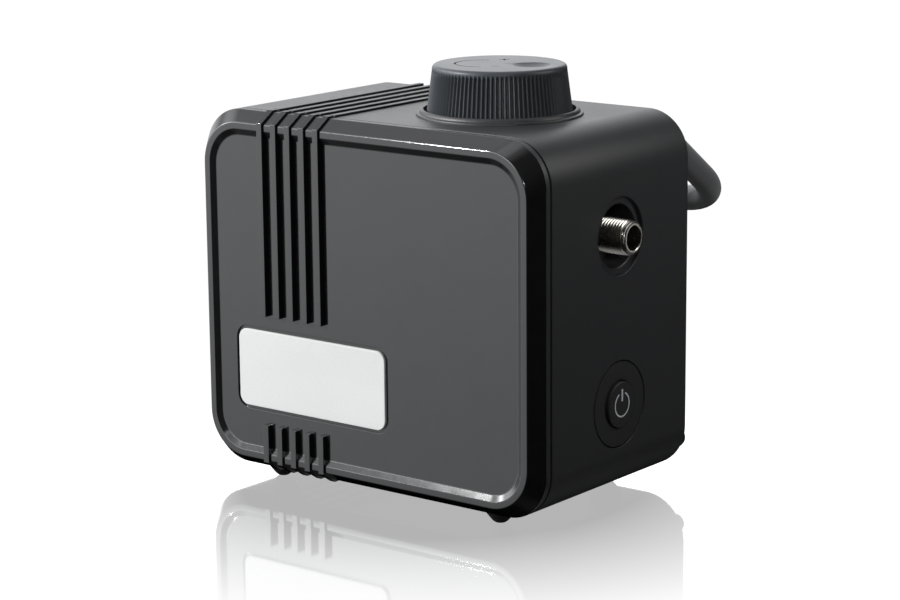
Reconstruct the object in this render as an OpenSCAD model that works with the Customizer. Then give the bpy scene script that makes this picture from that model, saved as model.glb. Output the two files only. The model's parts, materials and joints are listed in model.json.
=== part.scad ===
// Small diaphragm compressor for an airbrush, in millimetres.
// The origin is on the ground under the middle of the case. The front faces -Y and +Z is up.

/* [Case] */
// Width of the case
case_w = 118.4; // [110:0.2:144]
// Depth of the case, from the front rim to the back
case_d = 71.4; // [68:0.2:90]
// Height of the case without its feet
case_h = 102; // [98:0.2:126]
// Radius of the case's long corners
corner_r = 12.8; // [10:0.2:15]
// Wall thickness of the housing
wall = 2.5; // [2:0.1:3]
// Distance of the outlet and the button behind the middle of the case
side_axis_y = 2.5; // [0:0.1:5]

/* [Front cover] */
// Depth of the front cover
cover_d = 6.3; // [6:0.1:8]
// Width of the rim chamfer, seen from the front
chamfer_w = 3; // [2:0.1:4]
// Depth of the rim chamfer
chamfer_d = 4.5; // [3:0.1:5]
// Corner radius of the flat rim
rim_r = 12.4; // [9:0.2:13]
// Width of the flat rim
rim_w = 1.85; // [1.4:0.05:3]
// Width of the slope from the rim down to the panel
slope_w = 1.75; // [1:0.05:2.5]
// Depth of the panel below the rim
panel_drop = 1; // [0.6:0.1:1.6]
// Shadow gap between the cover and the housing
seam_gap = 0.7; // [0.4:0.1:1]

/* [Ribs] */
// Number of ribs
rib_count = 5; // [3:1:5]
// Distance between ribs
rib_pitch = 5.08; // [4.5:0.01:5.4]
// Width of a rib
rib_w = 1.9; // [1.4:0.1:2.4]
// Height of a rib above the rim
rib_h = 0.6; // [0.4:0.1:0.9]
// Middle of the ribs, left of the middle of the case
rib_x = 24.8; // [22:0.1:28]

/* [Badge] */
// Width of the badge plate
badge_w = 53.2; // [40:0.2:58]
// Height of the badge plate
badge_h = 22.2; // [18:0.2:26]
// Thickness of the badge plate
badge_t = 0.8; // [0.6:0.1:1]
// Corner radius of the badge plate
badge_r = 3; // [2:0.1:5]
// Middle of the badge, left of the middle of the case
badge_x = 18.9; // [15:0.1:24]
// Middle of the badge above the case's underside
badge_up = 29.2; // [24:0.1:34]

/* [Regulator] */
// Knob axis, right of the middle of the case
knob_x = 19; // [16:0.2:24]
// Knob radius at its foot
knob_r = 20.1; // [18:0.1:20.4]
// Knob radius at its top
knob_top_r = 18.5; // [16:0.1:19]
// Height of the knob's top above the case
knob_h = 13.9; // [12:0.1:18]
// Radius of the collar ring round the knob
collar_r = 23; // [22:0.1:25]
// Spindle radius
spindle_r = 3; // [2.5:0.1:3.5]
// Thread pitch of the spindle
spindle_pitch = 1.5; // [1:0.25:2]
// Radius of the regulator body
regulator_r = 13; // [12:0.2:15]
// Wire radius of the regulator spring
spring_wire_r = 0.8; // [0.5:0.05:1]

/* [Outlet] */
// Outlet axis below the top of the case
outlet_drop = 29.7; // [28:0.1:33]
// Major radius of the outlet thread, 1/8 inch pipe
thread_r = 4.864; // [4.8:0.001:5]
// Bore radius of the outlet
outlet_bore_r = 3.4; // [2.5:0.1:3.6]
// How far the outlet stands out of the side
outlet_out = 4.4; // [2:0.1:8]
// Radius of the well round the outlet
well_r = 8.7; // [8:0.1:10]
// Radius of the step round the well
well_step_r = 10.7; // [10.4:0.1:12]
// Depth of the well
well_depth = 8.5; // [6:0.1:10]

/* [Power button] */
// Button axis above the case's underside
button_up = 26; // [24:0.1:30]
// Radius of the button bezel
bezel_r = 11.85; // [10:0.05:13]
// Radius of the button
button_r = 6.35; // [5:0.05:7]
// How far the button stands out of the bezel
button_out = 0.9; // [0.5:0.1:2]
// Travel of the button
button_travel = 1.2; // [0.8:0.1:1.4]

/* [Airbrush hanger] */
// Radius of the bend, on the middle of the wire
hanger_bend_r = 16.5; // [14:0.1:18]
// Straight length of each arm outside the case
hanger_arm = 20.5; // [16:0.1:30]
// Slope of the hanger below level, in degrees
hanger_slope = 35; // [25:1:40]
// Outer radius of the rubber sleeve
sleeve_r = 3.7; // [3:0.1:4]
// Radius of the steel wire
wire_r = 2; // [1.5:0.1:2.5]
// Right arm in from the side of the case
hanger_in = 6.4; // [6:0.1:9]
// Arms below the top of the case, at the back face
hanger_drop = 9.4; // [8:0.1:12]

/* [Feet] */
// Height of the feet
foot_h = 4.2; // [3:0.1:6]
// Radius of a foot at its top
foot_r = 4.5; // [4:0.1:6]
// Distance of the feet from the middle, left and right
foot_x = 39; // [34:0.5:44]
// Front feet in from the back of the front cover
foot_front_in = 4.2; // [4:0.1:8]
// Rear feet in from the back of the case
foot_rear_in = 10; // [8:0.5:14]

/* [Motor and pump] */
// Outer radius of the motor can
motor_r = 20; // [18:0.2:21]
// Length of the motor can
motor_len = 40; // [36:0.5:44]
// Motor shaft radius
shaft_r = 2; // [1.5:0.1:2.5]
// Offset of the crank pin
crank_throw = 1.6; // [1:0.1:1.8]
// Distance of the crank behind the motor's face
crank_reach = 15; // [14:0.5:17]
// Height of the pump deck above the shaft
deck_up = 25.5; // [24:0.5:28]
// Side of the square pump head
head_w = 36; // [34:0.5:38]

/* [Rear cover] */
// Border of the housing left and right of the rear cover
rear_border_x = 10; // [9:0.5:14]
// Border of the housing below the rear cover
rear_border_bottom = 9; // [8:0.5:12]
// Border of the housing above the rear cover
rear_border_top = 19; // [17:0.5:22]
// Thickness of the rear cover
rear_t = 2.2; // [1.8:0.1:2.4]

/* [Fits] */
// Clearance between parts that are pushed together
fit = 0.03; // [0.02:0.01:0.06]
// Clearance between parts that move past each other
gap = 0.3; // [0.25:0.05:0.5]

/* [Hidden] */
$fn = 64;
hull_fn = 32;
spring_sides = 8;
spring_steps = 14;
side_x = case_w / 2;
front_y = -case_d / 2;
back_y = case_d / 2;
bottom_z = foot_h;
top_z = foot_h + case_h;
mid_z = foot_h + case_h / 2;
floor_z = bottom_z + wall;
ceiling_z = top_z - wall;
cover_back_y = front_y + cover_d;
housing_y = cover_back_y + seam_gap;
panel_y = front_y + panel_drop;
cover_wall = 2;
outlet_z = top_z - outlet_drop;
button_z = bottom_z + button_up;
badge_z = bottom_z + badge_up;
// Badge pocket: how far the ribs stop short of the plate, and the rim round the plate
badge_rib_gap = 4.6;
badge_rim = 0.9;
collar_h = 1.7;
collar_wall = 2.1;

// Chassis and crank line
mount_h = 3.5;
chassis_t = 1.5;
chassis_z = floor_z + mount_h;
deck_bottom_z = chassis_z + chassis_t;
motor_z = deck_bottom_z + motor_r + 1.8;
motor_front_x = -motor_len / 2;
motor_rear_x = motor_len / 2;
crank_x = motor_front_x - crank_reach;
deck_z = motor_z + deck_up;
hub_r = 8.5;
pin_r = 4;
bearing_r = 8;
bearing_w = 6;
rod_r = 11.5;
rod_w = 6;
clamp_r = 7.4;
clamp_t = 2.2;
rod_top_z = deck_z - 1;
diaphragm_t = 1.2;
valve_t = 5.3;
head_t = 12;
head_bolt = head_w / 2 - 4.5;
bolt_r = 1.5;
fan_r = 18.5;
fan_w = 6;
barb_r = 2.5;
hose_r = 3.9;
head_port_z = deck_z + diaphragm_t + valve_t + 6;

// Regulator, hung from the ceiling
body_up = 8.4;
body_down = 5.6;
body_top_z = outlet_z + body_up;
membrane_t = 1;
bonnet_z = body_top_z + membrane_t;
bonnet_top_z = ceiling_z - 1;
bonnet_r = 12;
bonnet_wall = 2.4;
neck_r = 5;
nut_h = 2.5;
seat_t = 3;
seat_z = bonnet_top_z - 3 - seat_t;
seat_travel = spindle_pitch * 300 / 360;
spring_r = 7;
spring_turns = 4;

// Button and switch, measured inwards from the side of the case
bezel_t = 3;
flange_r = button_r + 1.2;
flange_t = 1.5;
stem_r = 2.5;
switch_in = 7.5;
switch_w = 13;
switch_len = 12;

// Feet, bumpers and screws
front_foot_y = housing_y + foot_front_in;
rear_foot_y = back_y - foot_rear_in;
foot_stem_r = 2.2;
bumper_r = 3;
bumper_out = 3.2;
screw_r = 1.5;
screw_head_r = 2.8;
rear_r = 8;
rear_z0 = bottom_z + rear_border_bottom;
rear_z1 = top_z - rear_border_top;
rear_w = case_w - 2 * rear_border_x;
jack_x = side_x - rear_border_x - 22;
jack_z = rear_z0 + 12;
jack_r = 5.5;
jack_bore_r = 2.8;
jack_pin_r = 1.05;
hanger_z = top_z - hanger_drop;
hanger_x = side_x - hanger_in;
anchor_len = 9;
elbow_r = 3;
elbow_len = elbow_r * tan(hanger_slope / 2);
board_t = 1.6;
board_z = floor_z + 3.2;
board_x0 = motor_rear_x + 8;
board_x1 = side_x - wall - 3.4;
board_y0 = housing_y + 11;
board_y1 = back_y - 18;

// Rounded rectangle centred on the origin, with true arcs at its corners
module rounded_rect(w, h, r) {
    square([w - 2 * r, h], center = true);
    square([w, h - 2 * r], center = true);
    for (sx = [-1, 1], sy = [-1, 1])
        translate([sx * (w / 2 - r), sy * (h / 2 - r)]) circle(r);
}

// Rounded rectangle in the XZ plane, extruded from y0 to y1
module slab_y(w, h, r, y0, y1, x = 0, z = mid_z)
    translate([x, y1, z]) rotate([90, 0, 0]) linear_extrude(y1 - y0) rounded_rect(w, h, r);

// Round bars along each axis
module bar_x(r, x0, x1, y, z) translate([x0, y, z]) rotate([0, 90, 0]) cylinder(r = r, h = x1 - x0);
module bar_y(r, y0, y1, x, z) translate([x, y1, z]) rotate([90, 0, 0]) cylinder(r = r, h = y1 - y0);
module bar_z(r, z0, z1, x, y) translate([x, y, z0]) cylinder(r = r, h = z1 - z0);
module block(x0, x1, y0, y1, z0, z1) translate([x0, y0, z0]) cube([x1 - x0, y1 - y0, z1 - z0]);

function unit(v) = v / norm(v);
// Ring of points round a path point, square to the path
function ring(path, i, r, sides, up) =
    let (
        a = path[max(i - 1, 0)],
        b = path[min(i + 1, len(path) - 1)],
        t = unit(b - a),
        u = unit(cross(up, t)),
        w = cross(t, u)
    )
    [for (k = [0 : sides - 1]) path[i] + r * (cos(360 * k / sides) * u + sin(360 * k / sides) * w)];

// Round tube or wire along a path that never runs along up
module swept(path, r, sides = 10, up = [0, 0, 1]) {
    n = len(path);
    points = [for (i = [0 : n - 1]) each ring(path, i, r, sides, up)];
    walls = [
        for (i = [0 : n - 2], k = [0 : sides - 1])
            [
                i * sides + k,
                (i + 1) * sides + k,
                (i + 1) * sides + (k + 1) % sides,
                i * sides + (k + 1) % sides
            ]
    ];
    first = [for (k = [0 : sides - 1]) k];
    last = [for (k = [sides - 1 : -1 : 0]) (n - 1) * sides + k];
    polyhedron(points = points, faces = concat(walls, [first], [last]), convexity = 6);
}

// Point on a smooth S curve from a to b that leaves and arrives along X
function s_curve(a, b, n) =
    [for (i = [0 : n]) let (t = i / n, s = t * t * (3 - 2 * t)) [a[0] + (b[0] - a[0]) * t,
        a[1] + (b[1] - a[1]) * s, a[2] + (b[2] - a[2]) * s]];

// Places for four corner fixings on the cover and the housing
corner_in = corner_r - 4.2;
module at_corners(y)
    for (sx = [-1, 1], sz = [-1, 1])
        translate([sx * (side_x - corner_in), y, mid_z + sz * (case_h / 2 - corner_in)])
            rotate([-90, 0, 0]) children();

module at_rear_corners(y)
    for (sx = [-1, 1], z = [rear_z0 + 5, rear_z1 - 5])
        translate([sx * (rear_w / 2 - 5), y, z]) rotate([-90, 0, 0]) children();

function rib_left(i) = -rib_x + (i - (rib_count - 1) / 2) * rib_pitch - rib_w / 2;

// Frame of the hanger: origin where the right arm leaves the back, local Y along the arm
module hanger_frame()
    translate([hanger_x, back_y, hanger_z]) rotate([-hanger_slope, 0, 0]) children();

module hanger_bars(r, start, end)
    for (x = [0, -2 * hanger_bend_r])
        bar_y(r, start, end, x, 0);

// Level ends of the hanger inside the case, each with a small bend down to its arm
module hanger_ends(r, inside)
    for (x = [hanger_x, hanger_x - 2 * hanger_bend_r]) {
        bar_y(r, back_y - inside, back_y - elbow_len, x, hanger_z);
        translate([x, back_y - elbow_len, hanger_z - elbow_r]) rotate([0, -90, 0])
            rotate_extrude(angle = hanger_slope) translate([elbow_r, 0]) circle(r);
    }

module hanger_bend(r)
    translate([-hanger_bend_r, hanger_arm, 0])
        rotate_extrude(angle = 180) translate([hanger_bend_r, 0]) circle(r);

// ---- Case ----

module housing_ribs()
    for (i = [0 : rib_count - 1]) {
        block(rib_left(i), rib_left(i) + rib_w, housing_y, back_y, top_z - 1, top_z + rib_h);
        block(rib_left(i), rib_left(i) + rib_w, housing_y, back_y, bottom_z - rib_h, bottom_z + 1);
    }

module housing_shell() {
    difference() {
        slab_y(case_w, case_h, corner_r, housing_y, back_y);
        slab_y(case_w - 2 * wall, case_h - 2 * wall, corner_r - wall, housing_y - 1, back_y - wall);
    }
    housing_ribs();
    // Collar round the knob
    bar_z(collar_r, ceiling_z + 0.5, top_z + collar_h, knob_x, side_axis_y);
    // Well round the outlet
    bar_x(well_step_r + 0.8, side_x - well_depth - wall, side_x - 0.5, side_axis_y, outlet_z);
    // Seat ring behind the button bezel
    bar_x(bezel_r + 1.8, side_x - bezel_t - 2, side_x - 0.5, side_axis_y, button_z);
    // Ledge that the rear cover rests on
    slab_y(rear_w + 4, rear_z1 - rear_z0 + 4, rear_r + 2, back_y - rear_t - 2.2, back_y - 0.5,
        z = (rear_z0 + rear_z1) / 2);
    at_rear_corners(back_y - rear_t - 9) cylinder(r = 4, h = 8);
    // Lugs that take the front cover's screws
    at_corners(housing_y + 5) cylinder(r = 5.2, h = 3);
}

module main_housing() color([0.13, 0.13, 0.14]) difference() {
    housing_shell();
    bar_z(collar_r - collar_wall, top_z, top_z + collar_h + 1, knob_x, side_axis_y);
    bar_z(neck_r + fit, ceiling_z - 1, top_z + 1, knob_x, side_axis_y);
    bar_x(well_r, side_x - well_depth, side_x + 1, side_axis_y, outlet_z);
    bar_x(well_step_r, side_x - 1, side_x + 1, side_axis_y, outlet_z);
    bar_x(clamp_thread_r + fit, side_x - well_depth - wall - 1, side_x, side_axis_y, outlet_z);
    bar_x(bezel_r + 0.25, side_x - bezel_t, side_x + 1, side_axis_y, button_z);
    bar_x(bezel_r - 2, side_x - bezel_t - 3, side_x + 1, side_axis_y, button_z);
    slab_y(rear_w, rear_z1 - rear_z0, rear_r, back_y - rear_t, back_y + 1, z = (rear_z0 + rear_z1) / 2);
    difference() {
        slab_y(rear_w - 5, rear_z1 - rear_z0 - 5, rear_r - 2, back_y - rear_t - 10, back_y,
            z = (rear_z0 + rear_z1) / 2);
        at_rear_corners(back_y - rear_t - 11) cylinder(r = 4, h = 11);
    }
    at_rear_corners(back_y - rear_t - 8) cylinder(r = screw_r + fit, h = 12);
    at_corners(housing_y) cylinder(r = screw_r + 0.3, h = 12);
    for (x = [-foot_x, foot_x], y = [front_foot_y, rear_foot_y]) {
        bar_z(foot_stem_r + fit, bottom_z - 1, floor_z + 1, x, y);
        bar_z(foot_r + 0.2, bottom_z - rib_h - 1, bottom_z, x, y);
    }
    hanger_ends(wire_r + 0.2, wall + 1);
    hanger_frame() hanger_bars(wire_r + 0.2, elbow_len, 8);
    for (x = [hanger_x - 8, hanger_x - 2 * hanger_bend_r + 8])
        bar_y(screw_r + 0.2, back_y - 6, back_y + 1, x, hanger_z);
    for (sx = [-1, 1])
        bar_y(1.2 + fit, back_y - wall - 1, back_y + 1, sx * (side_x - 4.5), bottom_z + 8.5);
}

// Outside of the cover, grown by g on every face
module cover_form(g) hull() {
    slab_y(case_w - 2 * chamfer_w + 2 * g * 0.7, case_h - 2 * chamfer_w + 2 * g * 0.7, rim_r + g * 0.7,
        front_y - g, front_y - g + 0.1, $fn = hull_fn);
    slab_y(case_w + 2 * g, case_h + 2 * g, corner_r + g, front_y + chamfer_d - g * 0.3, cover_back_y,
        $fn = hull_fn);
}

// Opening of the panel: the slope from the rim down to the panel
module panel_pocket() hull() {
    w0 = case_w - 2 * (chamfer_w + rim_w);
    h0 = case_h - 2 * (chamfer_w + rim_w);
    slab_y(w0, h0, rim_r - rim_w, front_y - 0.1, front_y, $fn = hull_fn);
    slab_y(w0 - 2 * slope_w, h0 - 2 * slope_w, rim_r - rim_w - slope_w, front_y, panel_y, $fn = hull_fn);
}

module cover_ribs() difference() {
    intersection() {
        cover_form(rib_h);
        for (i = [0 : rib_count - 1])
            block(rib_left(i), rib_left(i) + rib_w, front_y - 2, cover_back_y,
                bottom_z - 2, top_z + 2);
    }
    block(-side_x, side_x, front_y - 3, panel_y + 1,
        badge_z - badge_h / 2 - badge_rib_gap, badge_z + badge_h / 2 + badge_rib_gap);
}

module front_cover() color([0.08, 0.08, 0.085]) {
    difference() {
        union() {
            difference() {
                cover_form(0);
                panel_pocket();
            }
            cover_ribs();
        }
        slab_y(badge_w + 2 * badge_rim, badge_h + 2 * badge_rim, badge_r + badge_rim,
            panel_y - 1, panel_y + badge_t - 0.3, x = -badge_x, z = badge_z);
        slab_y(case_w - 2 * chamfer_w - 5, case_h - 2 * chamfer_w - 5, corner_r - 4,
            panel_y + cover_wall, cover_back_y + 1);
    }
    // Tongue that centres the cover in the housing
    difference() {
        slab_y(case_w - 2 * wall - 0.3, case_h - 2 * wall - 0.3, corner_r - wall - 0.15,
            cover_back_y - 1, housing_y + 1);
        slab_y(case_w - 2 * wall - 4, case_h - 2 * wall - 4, corner_r - wall - 2,
            cover_back_y - 2, housing_y + 2);
    }
    // Screw posts
    difference() {
        at_corners(panel_y + cover_wall - 0.5) cylinder(r = 3.6, h = housing_y + 4.9 - panel_y - cover_wall);
        at_corners(housing_y - 1) cylinder(r = screw_r, h = 12);
    }
}

module badge_plate() color([0.85, 0.85, 0.84])
    slab_y(badge_w, badge_h, badge_r, panel_y - 0.3, panel_y + badge_t - 0.3 - fit, x = -badge_x, z = badge_z);

// Pan-head screw pointing along -Z, with its head's underside at z = 0
module screw(length, r = screw_r, head_r = screw_head_r, head_h = 1.8) difference() {
    union() {
        translate([0, 0, -length]) cylinder(r = r, h = length);
        cylinder(r = head_r, h = head_h);
    }
    for (a = [0, 90])
        rotate([0, 0, a]) translate([-head_r * 0.6, -0.35, head_h - 0.8]) cube([head_r * 1.2, 0.7, 1]);
}

module cover_screws() color("silver") at_corners(housing_y + 8) screw(8.5, screw_r - fit);

module rear_cover() color([0.12, 0.12, 0.13]) difference() {
    slab_y(rear_w - 0.5, rear_z1 - rear_z0 - 0.5, rear_r - 0.25, back_y - rear_t + fit, back_y - 0.1,
        z = (rear_z0 + rear_z1) / 2);
    // Cooling slots
    for (i = [-7 : 7], z = [rear_z0 + 32, rear_z0 + 56])
        slab_y(2.4, 16, 1.15, back_y - rear_t - 1, back_y + 1, x = i * 5, z = z);
    bar_y(jack_r + 0.2, back_y - rear_t - 1, back_y + 1, jack_x, jack_z);
    at_rear_corners(back_y - rear_t - 1) cylinder(r = screw_r + 0.2, h = 5);
    at_rear_corners(back_y - 1.1) cylinder(r = screw_head_r + 0.2, h = 3);
}

module case_screws() color("silver")
    at_rear_corners(back_y - 1.1 + fit) screw(8, screw_r - fit, screw_head_r, 1);

module feet() color([0.08, 0.08, 0.08])
    for (x = [-foot_x, foot_x], y = [front_foot_y, rear_foot_y]) translate([x, y, 0]) {
        rotate_extrude() polygon([
            [0, 0], [1.6, 0], [2.6, 0.4], [3.5, 1.3], [foot_r, foot_h - 1], [foot_r, foot_h - 0.02],
            [0, foot_h - 0.02]
        ]);
        cylinder(r = foot_stem_r, h = floor_z + 1.5);
        translate([0, 0, floor_z + fit]) cylinder(r = foot_stem_r + 0.4, h = 1.5);
    }

module rear_bumpers() color([0.08, 0.08, 0.08])
    for (sx = [-1, 1]) {
        bar_y(bumper_r, back_y + 0.02, back_y + bumper_out - 0.8, sx * (side_x - 4.5), bottom_z + 8.5);
        bar_y(bumper_r - 0.7, back_y + 1, back_y + bumper_out, sx * (side_x - 4.5), bottom_z + 8.5);
        bar_y(1.2, back_y - wall - 0.5, back_y + 1, sx * (side_x - 4.5), bottom_z + 8.5);
    }

// ---- Airbrush hanger ----

module airbrush_hanger() color("silver") {
    hanger_ends(wire_r, anchor_len);
    hanger_frame() {
        // Core that runs through each elbow's end into its arm
        hanger_bars(wire_r - 0.4, elbow_len - 0.3, elbow_len + 0.3);
        hanger_bars(wire_r, elbow_len, hanger_arm);
        hanger_bend(wire_r);
    }
}

module hanger_sleeve() color([0.2, 0.2, 0.21]) difference() {
    union() {
        difference() {
            hanger_frame() hanger_bars(sleeve_r, -4, hanger_arm);
            block(-side_x, side_x, back_y - 20, back_y + 0.02, hanger_z - 20, hanger_z + 20);
        }
        hanger_frame() hanger_bend(sleeve_r);
    }
    hanger_ends(wire_r + fit, 4);
    hanger_frame() {
        hanger_bars(wire_r + fit, elbow_len, hanger_arm + 0.01);
        hanger_bend(wire_r + fit);
    }
}

module hanger_anchor() color([0.25, 0.25, 0.27]) difference() {
    intersection() {
        block(hanger_x - 2 * hanger_bend_r - 4, hanger_x + 3, back_y - wall - 6, back_y - wall - 0.05,
            hanger_z - 5, hanger_z + 3.6);
        slab_y(case_w - 2 * wall - 0.6, case_h - 2 * wall - 0.6, corner_r - wall - 0.3,
            back_y - wall - 7, back_y);
    }
    hanger_ends(wire_r + fit, anchor_len);
    for (x = [hanger_x - 8, hanger_x - 2 * hanger_bend_r + 8])
        bar_y(screw_r, back_y - wall - 7, back_y, x, hanger_z);
}

module hanger_screws() color("silver")
    for (x = [hanger_x - 8, hanger_x - 2 * hanger_bend_r + 8])
        translate([x, back_y + 0.02, hanger_z]) rotate([-90, 0, 0]) screw(7, screw_r - fit, screw_head_r, 1.6);

// ---- Regulator ----

module regulator_knob() color([0.22, 0.22, 0.23]) translate([knob_x, side_axis_y, top_z]) difference() {
    rotate_extrude($fn = 96) polygon([
        [0, gap], [knob_r, gap], [knob_r, 1.2], [knob_top_r, knob_h - 2.2],
        [knob_top_r - 0.5, knob_h - 1.1], [knob_top_r - 1.4, knob_h - 0.3],
        [knob_top_r - 2.4, knob_h], [0, knob_h]
    ]);
    translate([0, 0, -1]) cylinder(r = 16.5, h = 1 + nut_h + 1.6);
    translate([0, 0, -1]) cylinder(r = spindle_r + fit, h = knob_h - 3);
    // Finger dimple
    translate([9.4, 2.2, knob_h + 11.2]) sphere(r = 12.4);
}

module regulator_screw() color("goldenrod") {
    bar_z(spindle_r, seat_z - seat_travel - 1.4, top_z + knob_h - 4.2, knob_x, side_axis_y);
    bar_z(spindle_r + 1, seat_z - seat_travel - 1.5, seat_z - seat_travel - 0.5, knob_x, side_axis_y);
}

module regulator_nut() color("silver") difference() {
    translate([knob_x, side_axis_y, top_z + 0.02]) cylinder(r = 8, h = nut_h, $fn = 6);
    bar_z(neck_r + fit, top_z - 1, top_z + nut_h + 1, knob_x, side_axis_y);
}

module regulator_bonnet() color([0.5, 0.5, 0.52]) difference() {
    union() {
        bar_z(bonnet_r, bonnet_z + 0.02, bonnet_top_z, knob_x, side_axis_y);
        bar_z(neck_r, bonnet_top_z - 1, top_z + nut_h + 0.4, knob_x, side_axis_y);
        bar_z(neck_r + 2.5, bonnet_top_z - 0.5, ceiling_z - 0.02, knob_x, side_axis_y);
    }
    bar_z(bonnet_r - bonnet_wall, bonnet_z - 1, bonnet_top_z - bonnet_wall, knob_x, side_axis_y);
    bar_z(spindle_r + 0.1, bonnet_top_z - 5, top_z + nut_h + 2, knob_x, side_axis_y);
}

// Nut that the spindle drives down on to the spring
module regulator_seat() color("goldenrod") difference() {
    bar_z(bonnet_r - bonnet_wall - 0.1, seat_z, seat_z + seat_t, knob_x, side_axis_y);
    bar_z(spindle_r + 0.06, seat_z - 1, seat_z + seat_t + 1, knob_x, side_axis_y);
}

module regulator_spring() color("silver") {
    z0 = bonnet_z + spring_wire_r + 0.05;
    z1 = seat_z - spring_wire_r - 0.05;
    n = spring_turns * spring_steps;
    swept([for (i = [0 : n]) let (a = 360 * i / spring_steps) [
        knob_x + spring_r * cos(a), side_axis_y + spring_r * sin(a), z0 + (z1 - z0) * i / n
    ]], spring_wire_r, spring_sides);
}

module regulator_membrane() color([0.35, 0.2, 0.15])
    bar_z(bonnet_r, body_top_z + 0.01, bonnet_z, knob_x, side_axis_y);

module regulator_body() color([0.75, 0.76, 0.78]) difference() {
    union() {
        bar_z(regulator_r, outlet_z - body_down, body_top_z, knob_x, side_axis_y);
        bar_x(barb_r, knob_x - regulator_r - 6, knob_x, side_axis_y, outlet_z);
        bar_x(barb_r, knob_x, knob_x + regulator_r + 5, side_axis_y, outlet_z);
    }
    bar_z(regulator_r - 4, body_top_z - 3, body_top_z + 1, knob_x, side_axis_y);
    bar_x(1.4, knob_x - regulator_r - 7, knob_x + regulator_r + 6, side_axis_y, outlet_z);
    bar_z(1.4, outlet_z, body_top_z, knob_x, side_axis_y);
}

// ---- Outlet ----

tail_x = side_x - well_depth - wall - 10;
clamp_thread_r = thread_r - 0.5;
module outlet_fitting() color([0.8, 0.78, 0.72]) difference() {
    union() {
        bar_x(thread_r, side_x - well_depth, side_x + outlet_out, side_axis_y, outlet_z);
        bar_x(clamp_thread_r, side_x - well_depth - wall - 4.5, side_x - well_depth, side_axis_y, outlet_z);
        bar_x(barb_r, tail_x, side_x - well_depth, side_axis_y, outlet_z);
    }
    bar_x(outlet_bore_r, side_x - well_depth + 1, side_x + outlet_out + 1, side_axis_y, outlet_z);
    bar_x(1.4, tail_x - 1, side_x, side_axis_y, outlet_z);
}

module outlet_locknut() color("silver") difference() {
    translate([side_x - well_depth - wall - 3.6, side_axis_y, outlet_z])
        rotate([0, 90, 0]) cylinder(r = 8, h = 3.5, $fn = 6);
    bar_x(clamp_thread_r + fit, side_x - well_depth - wall - 5, side_x - well_depth, side_axis_y, outlet_z);
}

module outlet_hose() color([0.75, 0.77, 0.8]) difference() {
    bar_x(hose_r, knob_x + regulator_r + 0.3, side_x - well_depth - wall - 5, side_axis_y, outlet_z);
    bar_x(barb_r + fit, knob_x + regulator_r - 1, side_x - well_depth - wall - 4, side_axis_y, outlet_z);
}

// ---- Power button ----

module button_bezel() color([0.1, 0.1, 0.1]) difference() {
    bar_x(bezel_r, side_x - bezel_t + fit, side_x, side_axis_y, button_z);
    bar_x(button_r + 0.15, side_x - bezel_t - 1, side_x + 1, side_axis_y, button_z);
}

module power_button() color([0.15, 0.15, 0.15]) difference() {
    union() {
        bar_x(button_r, side_x - bezel_t - gap - 0.5, side_x + button_out, side_axis_y, button_z);
        bar_x(flange_r, side_x - bezel_t - gap - flange_t, side_x - bezel_t - gap, side_axis_y, button_z);
        bar_x(stem_r, side_x - switch_in - 1.5, side_x - bezel_t - gap - 1, side_axis_y, button_z);
    }
    power_mark(0.3);
}

// Ring with a bar through its top, sunk to the given depth in the button's face
module power_mark(depth) {
    x0 = side_x + button_out - depth;
    difference() {
        bar_x(3.7, x0, x0 + depth, side_axis_y, button_z);
        bar_x(2.9, x0 - 1, x0 + depth + 1, side_axis_y, button_z);
        block(x0 - 1, x0 + depth + 1, side_axis_y - 1.2, side_axis_y + 1.2, button_z, button_z + 5);
    }
    block(x0, x0 + depth, side_axis_y - 0.4, side_axis_y + 0.4, button_z + 0.8, button_z + 4.4);
}

module power_symbol() color([0.75, 0.76, 0.78]) power_mark(0.3);

module power_switch() color([0.2, 0.3, 0.5]) difference() {
    block(side_x - switch_in - switch_len, side_x - switch_in,
        side_axis_y - switch_w / 2, side_axis_y + switch_w / 2,
        button_z - switch_w / 2, button_z + switch_w / 2);
    bar_x(stem_r + 0.1, side_x - switch_in - 8, side_x, side_axis_y, button_z);
}

module switch_spring() color("silver") {
    x0 = side_x - switch_in - 7.6;
    x1 = side_x - switch_in - 1.5 - button_travel - 0.4;
    n = 3 * spring_steps;
    swept([for (i = [0 : n]) let (a = 360 * i / spring_steps) [
        x0 + (x1 - x0) * i / n, side_axis_y + 1.8 * cos(a), button_z + 1.8 * sin(a)
    ]], 0.35, spring_sides, [1, 0, 0]);
}

// ---- Electrics ----

module circuit_board() color([0.1, 0.4, 0.2]) difference() {
    union() {
        block(board_x0, board_x1, board_y0, board_y1, board_z, board_z + board_t);
        for (x = [board_x0 + 3, board_x1 - 9], y = [board_y0 + 3, board_y1 - 3])
            bar_z(2.2, floor_z + 0.02, board_z + 0.5, x, y);
    }
    for (x = [board_x0 + 3, board_x1 - 9], y = [board_y0 + 3, board_y1 - 3])
        bar_z(1, floor_z - 1, board_z + board_t + 1, x, y);
}

module board_parts() color([0.15, 0.15, 0.35]) {
    z = board_z + board_t + 0.02;
    bar_z(2.5, z, z + 6.5, board_x0 + 10, board_y0 + 6);
    bar_z(2, z, z + 5, board_x0 + 16, board_y0 + 6);
    block(board_x0 + 6, board_x0 + 12, board_y0 + 14, board_y0 + 18, z, z + 1.6);
    block(board_x0 + 14, board_x0 + 20, board_y0 + 13, board_y0 + 20, z, z + 5);
}

module dc_jack() color([0.1, 0.1, 0.1]) difference() {
    union() {
        bar_y(jack_r, back_y - 14, back_y - 0.1, jack_x, jack_z);
        bar_y(jack_r + 1.5, back_y - rear_t - 2.2, back_y - rear_t - 0.02, jack_x, jack_z);
    }
    bar_y(jack_bore_r, back_y - 10, back_y + 1, jack_x, jack_z);
}

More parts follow.
